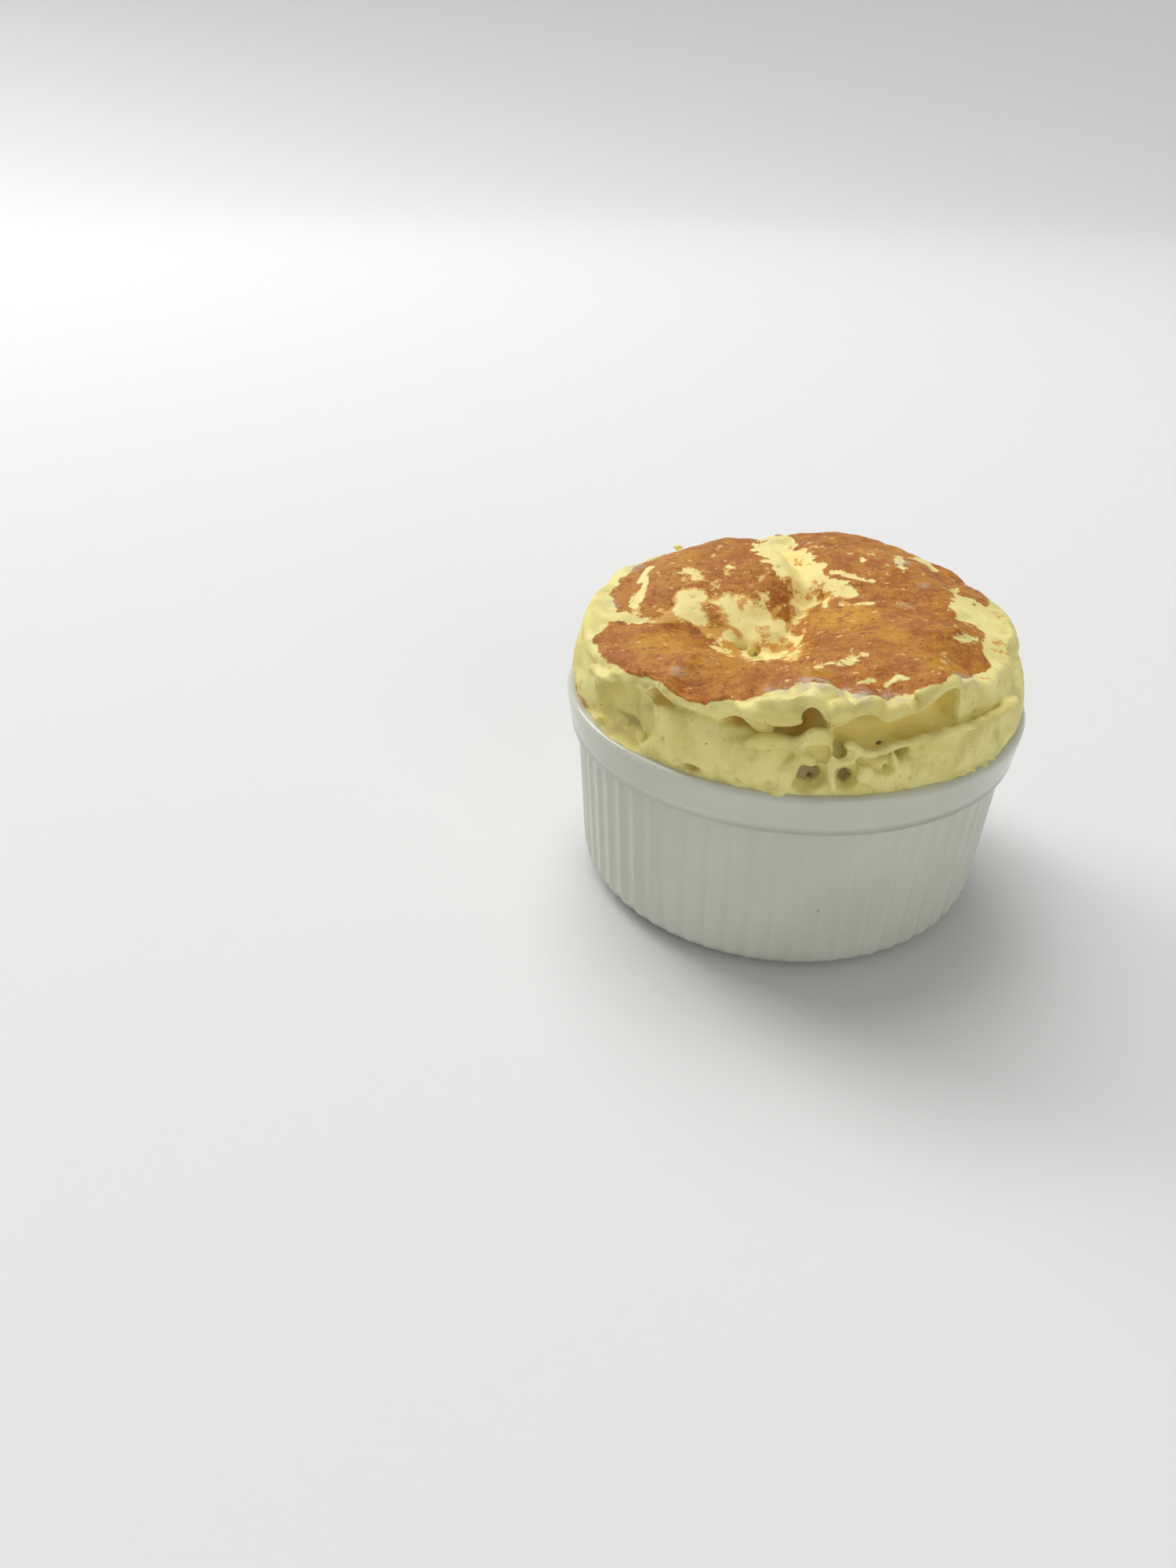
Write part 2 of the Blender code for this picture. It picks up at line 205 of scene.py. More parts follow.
# Top: (x, y, radius along, radius across, turn in degrees, height, softness)
TOP_HEIGHT = 58.3
MOUNDS = (
    (-17, 11, 15, 18.5, 8, 2.9, 0.3),
    (-30, 20, 12, 16, 40, -1.6, 0.8),
    (9, 27, 24, 17, -10, 2.3, 0.8),
    (21, 3, 17, 20, 0, 1.3, 0.8),
    (31, 22, 9, 15, 25, -0.9, 0.6),
    (18, -20, 19, 13, 18, 1.5, 0.7),
    (-19, -25, 20, 7.5, -18, 1.6, 0.8),
    (-17, -38, 20, 7, -10, -1.6, 0.8),
    (-8, -10, 17, 13, 20, -3.9, 0.8),
    (-7, -15, 8, 6, 10, -1.4, 0.8),
    (-34, -6, 6, 9, 0, -1.2, 0.7),
)
PITS = (  # small holes in the sunken middle: (x, y, half width, half length, depth)
    (-9.9, -10.0, 1.4, 1.1, 3.4),
    (-7.3, -10.9, 1.0, 1.4, 3.2),
    (-6.8, -14.4, 1.4, 1.7, 3.4),
    (-0.5, 3.0, 0.8, 0.7, 1.2),
)
# Valleys: (start x, start y, end x, end y, half width, depth)
VALLEYS = (
    (-9, 44, -4, 25, 6.0, 2.6),
    (-4, 25, 2, 8, 4.6, 2.5),
    (2, 8, -2, -10, 4.4, 1.6),
    (-3, -22, 9, -34, 3.5, 1.6),
    (-38, -10, -20, -12, 3.5, 0.9),
    (27, 27, 30, 12, 3.0, 0.9),
    (38, -2, 26, -2, 3.0, 0.8),
)
# Side: (azimuth, height, half width in degrees, half height, depth, softness)
SIDE_HOLLOWS = (
    (-134.0, 48.0, 13.2, 6.8, 1.7, 0.2),
    (-84.0, 45.3, 4.6, 2.5, 3.0, 0.45),
    (-83.2, 44.5, 1.2, 1.0, 1.6, 0.4),
    (-75.4, 44.9, 2.4, 2.0, 3.4, 0.5),
    (-67.3, 50.0, 1.8, 1.9, 3.0, 0.5),
    (-63.2, 49.2, 1.7, 1.7, 3.2, 0.5),
    (-66.0, 46.6, 1.6, 1.2, 2.2, 0.6),
    (-110.5, 43.7, 3.4, 1.0, 3.0, 0.6),
    (-99.3, 43.8, 1.2, 0.7, 2.2, 0.6),
    (-134.0, 44.9, 9.5, 1.2, 0.8, 0.6),
    (-76.0, 48.6, 15.0, 4.4, 0.8, 0.5),
    (-27.0, 54.6, 6.0, 2.6, 1.0, 0.8),
    (-16.0, 51.6, 6.0, 2.2, 0.9, 0.8),
    (-99.5, 51.6, 4.0, 1.6, 1.0, 0.8),
    (-83.0, 50.0, 5.5, 2.4, -0.8, 0.9),
    (-79.0, 46.8, 2.4, 3.4, -0.9, 0.9),
    (-71.5, 46.8, 3.2, 4.0, -0.9, 0.9),
    (-70.5, 51.3, 3.2, 1.3, -0.8, 0.9),
    (-104.0, 48.0, 13.0, 3.6, -0.6, 0.9),
    (-10.0, 54.6, 9.0, 3.6, 2.5, 0.8),
    (-30.0, 47.0, 7.0, 2.4, 0.8, 0.9),
    (24.0, 47.5, 5.5, 2.4, 2.4, 0.5),
    (36.0, 45.2, 3.0, 1.7, 2.2, 0.5),
    (58.0, 49.2, 2.6, 1.7, 2.2, 0.5),
    (72.0, 46.0, 4.0, 2.3, 2.8, 0.5),
    (66.0, 48.6, 4.5, 3.0, -0.8, 0.9),
    (104.0, 48.5, 6.5, 2.2, 1.6, 0.8),
    (121.0, 45.0, 2.6, 1.6, 2.2, 0.5),
    (141.0, 46.5, 4.2, 2.5, 2.8, 0.5),
    (150.0, 49.0, 4.5, 3.0, -0.7, 0.9),
    (-158.0, 48.0, 6.0, 2.2, 0.6, 0.9),
)

# Knobs, curls and strands that stand out of the side and the lip:
# (azimuth, height, distance from the axis, half sizes along, up and out, lean in degrees)
KNOBS = (
    (-143.5, 52.9, 43.2, 2.0, 0.7, 1.4, 14),
    (-139.2, 53.3, 43.5, 3.1, 0.8, 1.4, 8),
    (-136, 54.2, 43, 1.8, 1.3, 1.3, 30),
    (-130.5, 55.2, 42.2, 3.4, 2.0, 1.5, 14),
    (-95.0, 51.6, 43.2, 3.0, 0.9, 1.5, 16),
    (-91.2, 52, 43, 2.8, 1.0, 1.6, 12),
    (-86.8, 52.0, 43.2, 2.6, 1.5, 1.6, 24),
    (-82.6, 53.2, 42.9, 2.9, 1.7, 1.9, 0),
    (-84.4, 49.3, 43.6, 2.5, 1.4, 1.6, -24),
    (-79.4, 50.7, 43.4, 0.8, 1.8, 1.0, 8),
    (-75.7, 52, 43.3, 1.5, 1.3, 1.6, 0),
    (-73.9, 51.2, 43.5, 1.7, 1.2, 1.7, -38),
    (-71.3, 50.5, 43.6, 1.9, 1.1, 1.7, -10),
    (-68.6, 50.9, 43.5, 1.9, 1.0, 1.6, 18),
    (-65.8, 51.6, 43.3, 1.9, 0.8, 1.4, 14),
    (-76.4, 48.9, 43.6, 2.4, 1.5, 1.6, 14),
    (-72.0, 46.6, 43.7, 1.7, 2.2, 1.4, -30),
    (-79, 46.4, 43.7, 1.3, 3.8, 1.4, 14),
    (-88.2, 45.8, 43.7, 1.7, 3.9, 1.4, -12),
    (-68.6, 45, 43.7, 1.9, 1.8, 1.3, -20),
    (-60.5, 50, 43.5, 1.4, 1.0, 1.0, 0),
    (-65, 48.3, 43.4, 0.5, 2.1, 1.0, 20),
    (-90.3, 42.4, 44.0, 1.3, 1.0, 0.9, 0),
    (-89.7, 41.2, 44.4, 0.7, 0.9, 0.7, 0),
    (-118.5, 56.6, 42.35, 3.2, 1.3, 1.5, -12),
    (-112, 55.6, 42.55, 2.6, 1.7, 1.2, 0),
    (-104.8, 56.7, 42.55, 2.5, 1.9, 1.5, 0),
    (-96.6, 56.4, 42.5, 2.9, 1.5, 1.5, -6),
    (-93.4, 58.2, 41.9, 3.8, 1.3, 1.4, 12),
    (-91.0, 56.2, 42.5, 4.0, 1.6, 1.6, -8),
    (-86.0, 59.4, 41.6, 2.4, 1.4, 1.2, 0),
    (-78.4, 57.4, 42.4, 2.4, 2.3, 1.5, 0),
    (-72, 59, 42.05, 2.6, 1.3, 1.2, 8),
    (-66.2, 57.3, 42.6, 3.0, 2.0, 1.6, 10),
    (-58, 60, 41.65, 2.6, 1.2, 1.4, 16),
    (-45.0, 57.2, 41.6, 1.8, 3.0, 1.2, 0),
    (-157, 53.9, 41.3, 4.4, 1.7, 1.4, 6),
    (-173, 53.6, 41.3, 4.6, 1.6, 1.3, 8),
    (158, 54.6, 41.0, 3.0, 1.7, 1.3, 14),
    (148, 54.6, 39.8, 1.6, 1.9, 1.2, -20),
    (140, 54.9, 39.8, 1.0, 2.0, 1.0, 12),
    (12, 53.6, 40.9, 4.0, 1.6, 1.1, 0),
    (-124.5, 57.0, 41.8, 3.4, 1.2, 1.3, -20),
    (-45, 42.7, 44.1, 0.8, 0.5, 0.5, 0),
    (-41.5, 42.5, 44.2, 0.6, 0.5, 0.5, 0),
    (-37, 42.3, 44.3, 0.9, 0.5, 0.5, 0),
    (-33.5, 42.4, 44.2, 0.5, 0.5, 0.5, 0),
    (-126.2, 44.9, 42.4, 0.7, 1.2, 0.8, 10),
    (-123.5, 43.6, 43, 1.6, 0.6, 0.8, 0),
    (-142, 43.5, 43.4, 1.2, 0.6, 0.8, 0),
)
CREST = (-64.0, -26.0, 52.0)  # thin crumbling crest along the ledge: azimuths and height
CREST_KNOBS = 24
BACK_KNOBS = 30
BACK_START = 38  # azimuth where the knobs at the back start
BACK_SPAN = 114
LUMPS = ((9.0, 0.9), (4.6, 0.42), (2.2, 0.14))  # sizes and heights of the uneven swelling
CALM_SWELLS = ((-15, 50, -0.75), (-106, 20, -0.4), (178, 38, -0.55))  # where the side is smoother

# Browning, laid out in millimetres on a flat plan at the height of the crust. A place
# above or below that height is looked up where it meets the plan along the plan's slope.
PLAN_HEIGHT = 58.0
PLAN_SLOPE = 1.43
CRUST_OUTLINE = (  # (azimuth, radius)
    (-180, 37.8), (-171, 36.0), (-157, 38.2), (-149, 42.2), (-141, 44.6), (-133, 44.0),
    (-120, 44.0), (-111, 46.2), (-101, 43.6), (-95, 39.0), (-87, 35.4), (-76, 35.6), (-68, 40.2),
    (-59, 38.6), (-49, 38.3), (-43, 38.2), (-33, 40.2), (-24, 37.0), (-17, 34.6),
    (-5, 34.3), (0, 29.5), (10, 32.0), (15, 38.5), (23, 39.0), (42, 42.5), (59, 46.0),
    (75, 49.0), (97, 46.0), (113, 45.0), (131, 39.0), (154, 38.0), (170, 38.6), (180, 37.8),
)
PALE_PATCHES = (  # (start x, start y, end x, end y, half width)
    (-7.5, 38, -5.0, 27, 3.5),
    (-4, 26, 0, 15, 4.9),
    (-0.5, 14, 1.5, 5, 3.9),
    (1.2, 4, -0.4, -5, 1.5),
    (7, 11, 8, 7, 2.0),
    (6.5, 17, 13.5, 13.5, 1.0),
    (8, 3.2, 13, 2.2, 0.9),
    (-21, -1, -21, -8.5, 3.9),
    (-13.5, -1, -17, -9, 4.3),
    (-10, -3, -5, -13, 5.8),
    (-6, -12, -6, -21, 5.5),
    (-12, -14, -10.5, -20, 4.0),
    (-39, -8, -32, -12, 2.2),
    (1.5, -17, -2.0, -24, 1.8),
    (-22.5, 10, -21, 7.5, 1.9),
    (-15, 14, -14, 11, 0.9),
    (-31.2, 13, -31.4, -11, 1.2),
    (-30, -12, -24, -11, 1.3),
    (24, 30, 26.2, 27.2, 2.0),
    (19.4, 27, 19.4, 22, 0.9),
    (30, 15, 29.3, 11, 0.8),
    (31, 9, 30.5, 3, 1.9),
    (35, 6, 33, 2, 2.8),
    (28.5, -10, 31.5, -10.2, 0.9),
    (9, -24, 12, -20, 0.8),
    (4.5, -28, 7.5, -26, 0.7),
    (16.8, -31.5, 18.4, -28.5, 0.7),
    (11.5, -33, 12.8, -31, 0.6),
    (11.2, 24, 11.5, 23, 0.6),
    (-34, -36, -38, -30, 1.6),
    (-31.6, 20, -31.4, 24, 1.5),
    (-25, 29, -25, 33, 1.5),
)
STAINS = (  # browned fingers that cross the pale middle: (x, y, x, y, half width)
    (-16.8, -5, -14.5, -11, 1.5),
    (3, -15, 1, -25, 0.7),
)
WASHES_AND_SHADE = (  # thin orange stain over the pale parts, at x 36 also painted shade: (x, y, radius, strength)
    (-14, -9, 5.0, 0.7), (-13, -20, 5.5, 0.95), (-4, -14, 8.0, 0.6), (3, -20, 5.0, 0.8),
    (5, 9, 6.5, 0.9), (1, 24, 5.5, 0.8), (-19, 8, 7.5, 1.0), (-9, -1, 5.0, 0.8),
    (30, -11, 5.0, 0.5), (-15, 14, 4.0, 0.5), (9, -23, 5.0, 0.6), (31, -22, 4.5, 0.6),
    (9, 16, 5.0, 0.5), (29, 6, 4.0, 0.4), (-11, 29, 4.0, 0.7), (16, -35, 3.0, 0.8),
    # the two at x 36 darken the right shoulder: partly real dirt, partly painted shade
    (36, -10, 7.0, 0.5), (36, 5, 4.5, 0.45), (-1, 32, 5.0, 0.6), (-3, 8, 5.5, 0.6),
)
GOLDEN = (  # yellower crust
    (8.5, -4, 8.5, 1.0), (17, -12, 4.5, 0.7), (-24, -23, 7.5, 0.7), (-12, -28, 8.0, 0.45),
    (-27, 18, 7.5, 0.6), (25, -22, 5.0, 0.7), (-5, -4, 4.0, 0.7), (13, 30, 4.0, 0.6),
    (4, -30, 5.0, 0.6), (-25, 5, 4.0, 0.4), (22, 36, 5.0, 0.8),
)
RESIDUE = (  # chalky film on the crust and along the lip in front
    (19.3, 24.2, 2.4, 1.0), (23.5, 13, 2.0, 0.5), (20, 3.5, 2.5, 0.5), (29, -27, 4.0, 0.8),
    (4, -35, 4.0, 1.0), (10.5, -36.5, 4.5, 1.0), (-2, -37, 3.0, 0.8), (-8, 37, 3.0, 0.4),
    (-19, -33.5, 2.5, 0.5), (17, -35.5, 3.5, 0.8), (-37, -5, 3.0, 0.7), (-35, 14, 3.0, 0.8),
    (-31.5, 22, 2.5, 1.0),
)
RIM_STAIN = (-157.0, 10.0, 43.0, 1.8)  # (azimuth, half width, height, half height)
BROWNED_ABOVE = 51.0  # the crust's colours and stains stay over this height
PALE_MIDDLE = (-2.0, 2.0, 34.0, 6.0)  # cream crumb on top: (x, y, radius, soft edge)
RUBBED_MIDDLE = (-8.0, -8.0, 27.0, 8.0)  # where the crust is rubbed thin
MURKY_SLIT = (-131.0, -80.0)  # azimuths between which the slit is browned inside
FILM_WITH_SHADE = (-128.0, 20.0)  # (azimuth, half width) of the film on the rim, duller where it holds painted shade

SHADES = {  # red, green and blue from 0 to 255, as a screen shows them
    "crumb": (238, 227, 150),
    "deeper crumb": (228, 214, 130),
    "blotch": (212, 199, 122),
    "cream middle": (250, 229, 152),
    "slit": (247, 229, 138),
    "browned slit": (226, 184, 98),
    # painted shade that darkens the deep hollows and pits
    "shaded_hollow": (166, 150, 104),
    # painted shade in the pores
    "shaded_pore": (170, 146, 84),
    "crumb speck": (120, 92, 52),
    "film": (234, 220, 142),
    # a duller copy of the film: partly its own brown, partly painted shade
    "shaded film": (214, 198, 134),
    # thin orange stain, also used as painted shade on the right shoulder
    "thin stain and shade": (204, 138, 34),
    "crust": (188, 122, 32),
    "browner crust": (170, 99, 27),
    "golden crust": (208, 151, 42),
    "streak": (202, 142, 58),
    "dark fleck": (146, 80, 30),
    "bright fleck": (210, 150, 64),
    "chip": (234, 200, 122),
    "crust speck": (104, 60, 32),
    "chalk": (196, 180, 160),
    "glaze": (206, 208, 194),
    "greener glaze": (199, 201, 186),
    "dust": (120, 110, 90),
}

# The studio, in metres and watts; the camera's place is in rim radii
LIGHTS = (  # (name, place, size, watts)
    ("overhead", (-0.5, 0.8, 2.1), 1.5, 31.5),
    ("left", (-1.7, 1.0, 1.5), 1.0, 20.0),
    ("front", (1.5, -1.8, 1.0), 1.2, 8.0),
)
SKY_COLOUR = (0.97, 0.98, 1.0, 1.0)
SKY_STRENGTH = 0.355
FLOOR_COLOUR = (0.74, 0.74, 0.73, 1.0)
FLOOR_RADIUS = 1.5
FLOOR_SWEEP = 1.9
WALL_TOP = 2.6
CAMERA_PLACE = (0.0, -4.504, 3.1516)
CAMERA_PAN = math.radians(11.585)
CAMERA_TILT = 0.5616
CAMERA_ROLL = 0.00771
CAMERA_LENS = 25.2


def smooth(t):
    """An eased step from 0 to 1."""
    t = np.clip(t, 0.0, 1.0)
    return t * t * (3.0 - 2.0 * t)


def mix(a, b, t):
    return a + (b - a) * t


def turn(azimuth, centre):
    """The angle from centre to azimuth, from -180 to 180."""
    return (azimuth - centre + 180.0) % 360.0 - 180.0


def around(azimuth, base, swells):
    """A value that swells and shrinks round the souffle."""
    value = np.full_like(azimuth, base)
    for centre, half_width, amount in swells:
        d = np.clip(np.abs(turn(azimuth, centre)) / half_width, 0.0, 1.0)
        value += amount * (1.0 - d * d) ** 2
    return value


def lip_height(azimuth, ledge):
    """The underside of the lip that the crust makes over the ledge below it."""
    short = ledge + around(azimuth, OPENING, OPENING_SWELLS)
    long = around(azimuth, LONG_SLIT_LIP_HEIGHT, LONG_SLIT_DRIPS)
    start, end = LONG_SLIT
    past = np.abs(turn(azimuth, (start + end) / 2)) - (end - start) / 2
    return mix(short, np.maximum(short, long), smooth(1.0 - past / LONG_SLIT_END_SOFTNESS))


def held_under(value, most, ease):
    """A length that eases off before it reaches the most that it may be."""
    free = most - ease
    return np.where(value > free, free + ease * np.tanh((value - free) / ease), value)


def at_least(value, least, blend):
    """The larger of two lengths, with no crease where they cross."""
    overlap = np.clip(1.0 - np.abs(value - least) / blend, 0.0, 1.0)
    return np.maximum(value, least) + overlap * overlap * blend / 4.0


def along(x, y, x0, y0, x1, y1):
    """How far points lie from the line between two others."""
    run_x, run_y = x1 - x0, y1 - y0
    t = ((x - x0) * run_x + (y - y0) * run_y) / (run_x * run_x + run_y * run_y)
    t = np.clip(t, 0.0, 1.0)
    return np.hypot(x - x0 - t * run_x, y - y0 - t * run_y)


def top_height(x, y):
    """The height of the crust inside its edge."""
    height = np.full_like(x, TOP_HEIGHT)
    for cx, cy, length, width, degrees, rise, soft in MOUNDS:
        c, s = math.cos(math.radians(degrees)), math.sin(math.radians(degrees))
        dx, dy = x - cx, y - cy
        q = np.hypot((dx * c + dy * s) / length, (dy * c - dx * s) / width)
        height += rise * (1.0 - smooth((q - 1.0 + soft) / (2.0 * soft)))
    for x0, y0, x1, y1, half_width, depth in VALLEYS:
        d = np.clip(along(x, y, x0, y0, x1, y1) / half_width, 0.0, 1.0)
        height -= depth * (1.0 - d * d) ** 2
    return height


def pit_depth(x, y):
    """How far the small pits sink the crust at a place."""
    depth = np.zeros_like(x)
    for cx, cy, half_width, half_length, deep in PITS:
        q = np.hypot((x - cx) / half_width, (y - cy) / half_length)
        depth += deep * smooth((1.25 - q) / 0.6)
    return depth


def hollow_depth(azimuth, height):
    """How far the hollows in the side sink it at a place."""
    depth = np.zeros_like(azimuth)
    for centre, z, half_width, half_height, deep, soft in SIDE_HOLLOWS:
        q = np.hypot(turn(azimuth, centre) / half_width, (height - z) / half_height)
        depth += deep * (1.0 - smooth((q - 1.0 + soft) / soft))
    return depth


def crust_edge(azimuth):
    """Radius and height of the crust's edge."""
    ledge = around(azimuth, LEDGE_HEIGHT, LEDGE_SWELLS)
    height = around(azimuth, CRUST_EDGE_HEIGHT, CRUST_HEIGHT_SWELLS)
    height = at_least(height, lip_height(azimuth, ledge) + LIP_THICKNESS, 2.0)
    return around(azimuth, CRUST_EDGE_RADIUS, CRUST_EDGE_SWELLS), height


def zone_points(zone, t, azimuth):
    """(radius, height, slit depth, hollow depth) along one row of the souffle's skin."""
    foot = around(azimuth, FOOT_RADIUS, FOOT_SWELLS)
    start = RIM_HEIGHT + FILM_THICKNESS
    ledge_z = around(azimuth, LEDGE_HEIGHT, LEDGE_SWELLS)
    ledge_r = around(azimuth, LEDGE_RADIUS, LEDGE_RADIUS_SWELLS)
    none = np.zeros_like(azimuth)
    if zone == "film":
        a = np.radians(azimuth)
        ring = np.stack([44.0 * np.cos(a), 44.0 * np.sin(a), none], axis=1)
        ragged = 0.35 * noise_at(ring, 3.0, 61) + 0.15 * noise_at(ring, 1.2, 62)
        reach = foot + around(azimuth, FILM_REACH, FILM_SWELLS) + ragged
        reach = np.minimum(reach, WIDEST - 0.25) - 0.3 * t
        over = np.maximum(reach - (WIDEST - RIM_ROUND), 0.0)
        drop = RIM_ROUND - np.sqrt(RIM_ROUND ** 2 - over ** 2)
        return reach, RIM_HEIGHT - drop + mix(-FILM_SINK, FILM_THICKNESS, t), none, none
    if zone == "side":
        bulge = around(azimuth, BULGE, BULGE_SWELLS) * math.sin(math.pi * t ** 0.75)
        height = mix(start, ledge_z, t)
        sunk = hollow_depth(azimuth, height)
        return mix(foot, ledge_r, t) + bulge - sunk, height, none, sunk
    lip_z = lip_height(azimuth, ledge_z)
    lip_r = around(azimuth, LIP_RADIUS, LIP_RADIUS_SWELLS)
    if zone == "slit":
        depth = np.minimum(DEEPEST_SLIT, SLIT_DEPTH_PER_OPENING * (lip_z - ledge_z))
        depth = depth * math.sin(math.pi * t) ** 0.6
        return mix(ledge_r, lip_r, t) - depth, mix(ledge_z, lip_z, smooth(t)), depth, none
    edge_r, edge_z = crust_edge(azimuth)
    if zone == "lip":
        height = mix(lip_z, edge_z, t)
        sunk = hollow_depth(azimuth, height)
        belly = LIP_BELLY * math.sin(math.pi * t)
        return mix(lip_r, edge_r, t ** 1.6) + belly - sunk, height, none, sunk
    a = np.radians(azimuth)
    r = edge_r * (1.0 - t)
    inner = top_height(r * np.cos(a), r * np.sin(a))
    at_edge = top_height(edge_r * np.cos(a), edge_r * np.sin(a))
    pits = pit_depth(r * np.cos(a), r * np.sin(a))
    return r, inner + (edge_z - at_edge) * smooth(1.0 - t * 3.2) - pits, none, pits


def skin_rows():
    """The souffle's rows from the plug in the dish to the middle of its top."""
    mouth = MOUTH_RADIUS - FIT_GAP
    rows = [("axis", (0.0, RIM_HEIGHT - 6.0)), ("plug", (mouth, RIM_HEIGHT - 6.0))]
    rows.append(("plug", (mouth, RIM_HEIGHT - 1.4 * MOUTH_FLARE + FIT_GAP)))
    rows.append(("plug", (mouth + MOUTH_FLARE, RIM_HEIGHT - FILM_SINK)))
    rows += [("film", t) for t in (0.0, 0.3, 0.7, 1.0)]
    rows.append(("side", 0.0))
    for zone, count in FINE_ROWS:
        rows += [(zone, (k + 1) / count) for k in range(count)]
    return rows


def spun(profile, steps):
    """A bmesh turned about Z from (radius, height) points that start and end on the axis."""
    bm = bmesh.new()
    verts = [bm.verts.new((r, 0.0, z)) for r, z in profile]
    edges = [bm.edges.new(pair) for pair in zip(verts, verts[1:])]
    bmesh.ops.spin(
        bm, geom=verts + edges, cent=(0, 0, 0), axis=(0, 0, 1), dvec=(0, 0, 0),
        angle=math.tau, steps=steps, use_merge=True, use_duplicate=False,
    )
    on_axis = [v for v in bm.verts if v.co.xy.length < 1e-6]
    bmesh.ops.remove_doubles(bm, verts=on_axis, dist=1e-4)
    bmesh.ops.recalc_face_normals(bm, faces=bm.faces)
    return bm


def coordinates(mesh):
    flat = np.empty(len(mesh.vertices) * 3)
    mesh.vertices.foreach_get("co", flat)
    return flat.reshape(-1, 3)


def place_vertices(mesh, points):
    mesh.vertices.foreach_set("co", points.ravel())
    mesh.update()


def paint(mesh, name, values):
    """Keeps one value a vertex, for the materials to read."""
    layer = mesh.attributes.get(name) or mesh.attributes.new(name, "FLOAT", "POINT")
    layer.data.foreach_set("value", values.astype(np.float32))


def numbers_at(cells, seed):
    """A repeatable number from 0 to 1 for every whole-numbered cell."""
    mixed = cells[:, 0] * 73856093 ^ cells[:, 1] * 19349663 ^ cells[:, 2] * 83492791
    mixed = (mixed ^ seed * 40503977 ^ (mixed >> 13)) * 1274126177
    return ((mixed ^ (mixed >> 15)) & 0xFFFF) / 65535.0


def noise_at(points, size, seed):
    """Smooth noise from -1 to 1 at every point, with features of a size."""
    place = points / size
    cell = np.floor(place).astype(np.int64)
    inside = place - cell
    ease = smooth(inside)
    total = np.zeros(len(points))
    for corner in itertools.product((0, 1), repeat=3):
        share = np.prod(np.where(corner, ease, 1.0 - ease), axis=1)
        for axis in range(3):
            slope = 2.0 * numbers_at(cell + corner, 3 * seed + axis) - 1.0
            total += share * slope * (inside[:, axis] - corner[axis])
    return 1.7 * total


def bubbles_at(points, size, seed):
    """Distance to the nearest of scattered points, and a number from 0 to 1 for each."""
    place = points / size
    cell = np.floor(place).astype(np.int64)
    near = np.full(len(points), 9.0)
    number = np.zeros(len(points))
    for step in itertools.product((-1, 0, 1), repeat=3):
        there = cell + step
        centre = there + np.stack([numbers_at(there, seed + 101 * k) for k in range(3)], axis=1)
        distance = np.linalg.norm(place - centre, axis=1)
        number = np.where(distance < near, numbers_at(there, seed + 404), number)
        near = np.minimum(near, distance)
    return near, number


def new_object(name, mesh, material):
    obj = bpy.data.objects.new(name, mesh)
    bpy.context.scene.collection.objects.link(obj)
    mesh.materials.clear()
    mesh.materials.append(material)
    return obj


def merge_seam(mesh):
    """Joins the two ends of the wrapped grid, and its first and last rows to points."""
    bm = bmesh.new()
    bm.from_mesh(mesh)
    ends = {vert for edge in bm.edges if edge.is_boundary for vert in edge.verts}
    bmesh.ops.remove_doubles(bm, verts=list(ends), dist=1e-4)
    bm.to_mesh(mesh)
    bm.free()


def shape_skin():
    """The souffle's skin as a fine grid wrapped round its section, in millimetres."""
    rows = skin_rows()
    last = len(rows) - 1
    bm = bmesh.new()
    bmesh.ops.create_grid(bm, x_segments=FINE_STEPS, y_segments=last, size=1.0)
    mesh = bpy.data.meshes.new("souffle")
    bm.to_mesh(mesh)
    bm.free()
    flat = coordinates(mesh)
    azimuth = 180.0 * flat[:, 0]
    row_of = np.rint((flat[:, 1] + 1.0) / 2.0 * last).astype(int)
    radius, height, slit, shaded_hollow = (np.zeros(len(flat)) for _ in range(4))
    for k, (zone, t) in enumerate(rows):
        there = row_of == k
        if zone in ("axis", "plug"):
            radius[there], height[there] = t
        else:
            found = zone_points(zone, t, azimuth[there])
            radius[there], height[there], slit[there], shaded_hollow[there] = found
    a = np.radians(azimuth)
    place_vertices(mesh, np.stack([radius * np.cos(a), radius * np.sin(a), height], axis=1))
    # the hollow depth is kept as the mask of the painted shade in hollows and pits
    paint(mesh, "slit", slit)
    paint(mesh, "shaded_hollow", np.maximum(shaded_hollow, 0.0))
    merge_seam(mesh)
    return mesh


def knob_list():
    """The listed knobs, the crumbs of the crest and those round the back."""
    pick = random.Random(7)
    start, end, height = CREST
    crest = [
        (mix(start, end, (k + pick.random()) / CREST_KNOBS), height + pick.uniform(-0.3, 0.35),
         43.3 + pick.uniform(-0.2, 0.4), pick.uniform(0.9, 1.9), pick.uniform(0.55, 0.8),
         pick.uniform(0.9, 1.3), pick.uniform(-15, 15))
        for k in range(CREST_KNOBS)
    ]
    back = [
        (BACK_START + BACK_SPAN * (k + pick.random()) / BACK_KNOBS,
         pick.uniform(44.5, 57.0), pick.uniform(42.9, 43.6), pick.uniform(1.2, 3.0),
         pick.uniform(0.7, 1.6), pick.uniform(0.9, 1.3), pick.uniform(-35, 35))
        for k in range(BACK_KNOBS)
    ]
    return list(KNOBS) + crest + back


def add_knobs(mesh):
    """Stretched balls set into the skin, for the remesh to join to it."""
    knobs = bpy.data.meshes.new("knobs")
    bm = bmesh.new()
    for azimuth, height, out, along_it, up, deep, lean in knob_list():
        place = (
            Matrix.Rotation(math.radians(azimuth), 4, "Z")
            @ Matrix.Translation((out, 0.0, height))
            @ Matrix.Rotation(math.radians(lean), 4, "X")
            @ Matrix.Diagonal((deep, along_it, up, 1.0))
        )
        bmesh.ops.create_icosphere(bm, subdivisions=2, radius=1.0, matrix=place)
    bm.to_mesh(knobs)
    bm.clear()
    bm.from_mesh(mesh)
    bm.from_mesh(knobs)
    bm.to_mesh(mesh)
    bm.free()


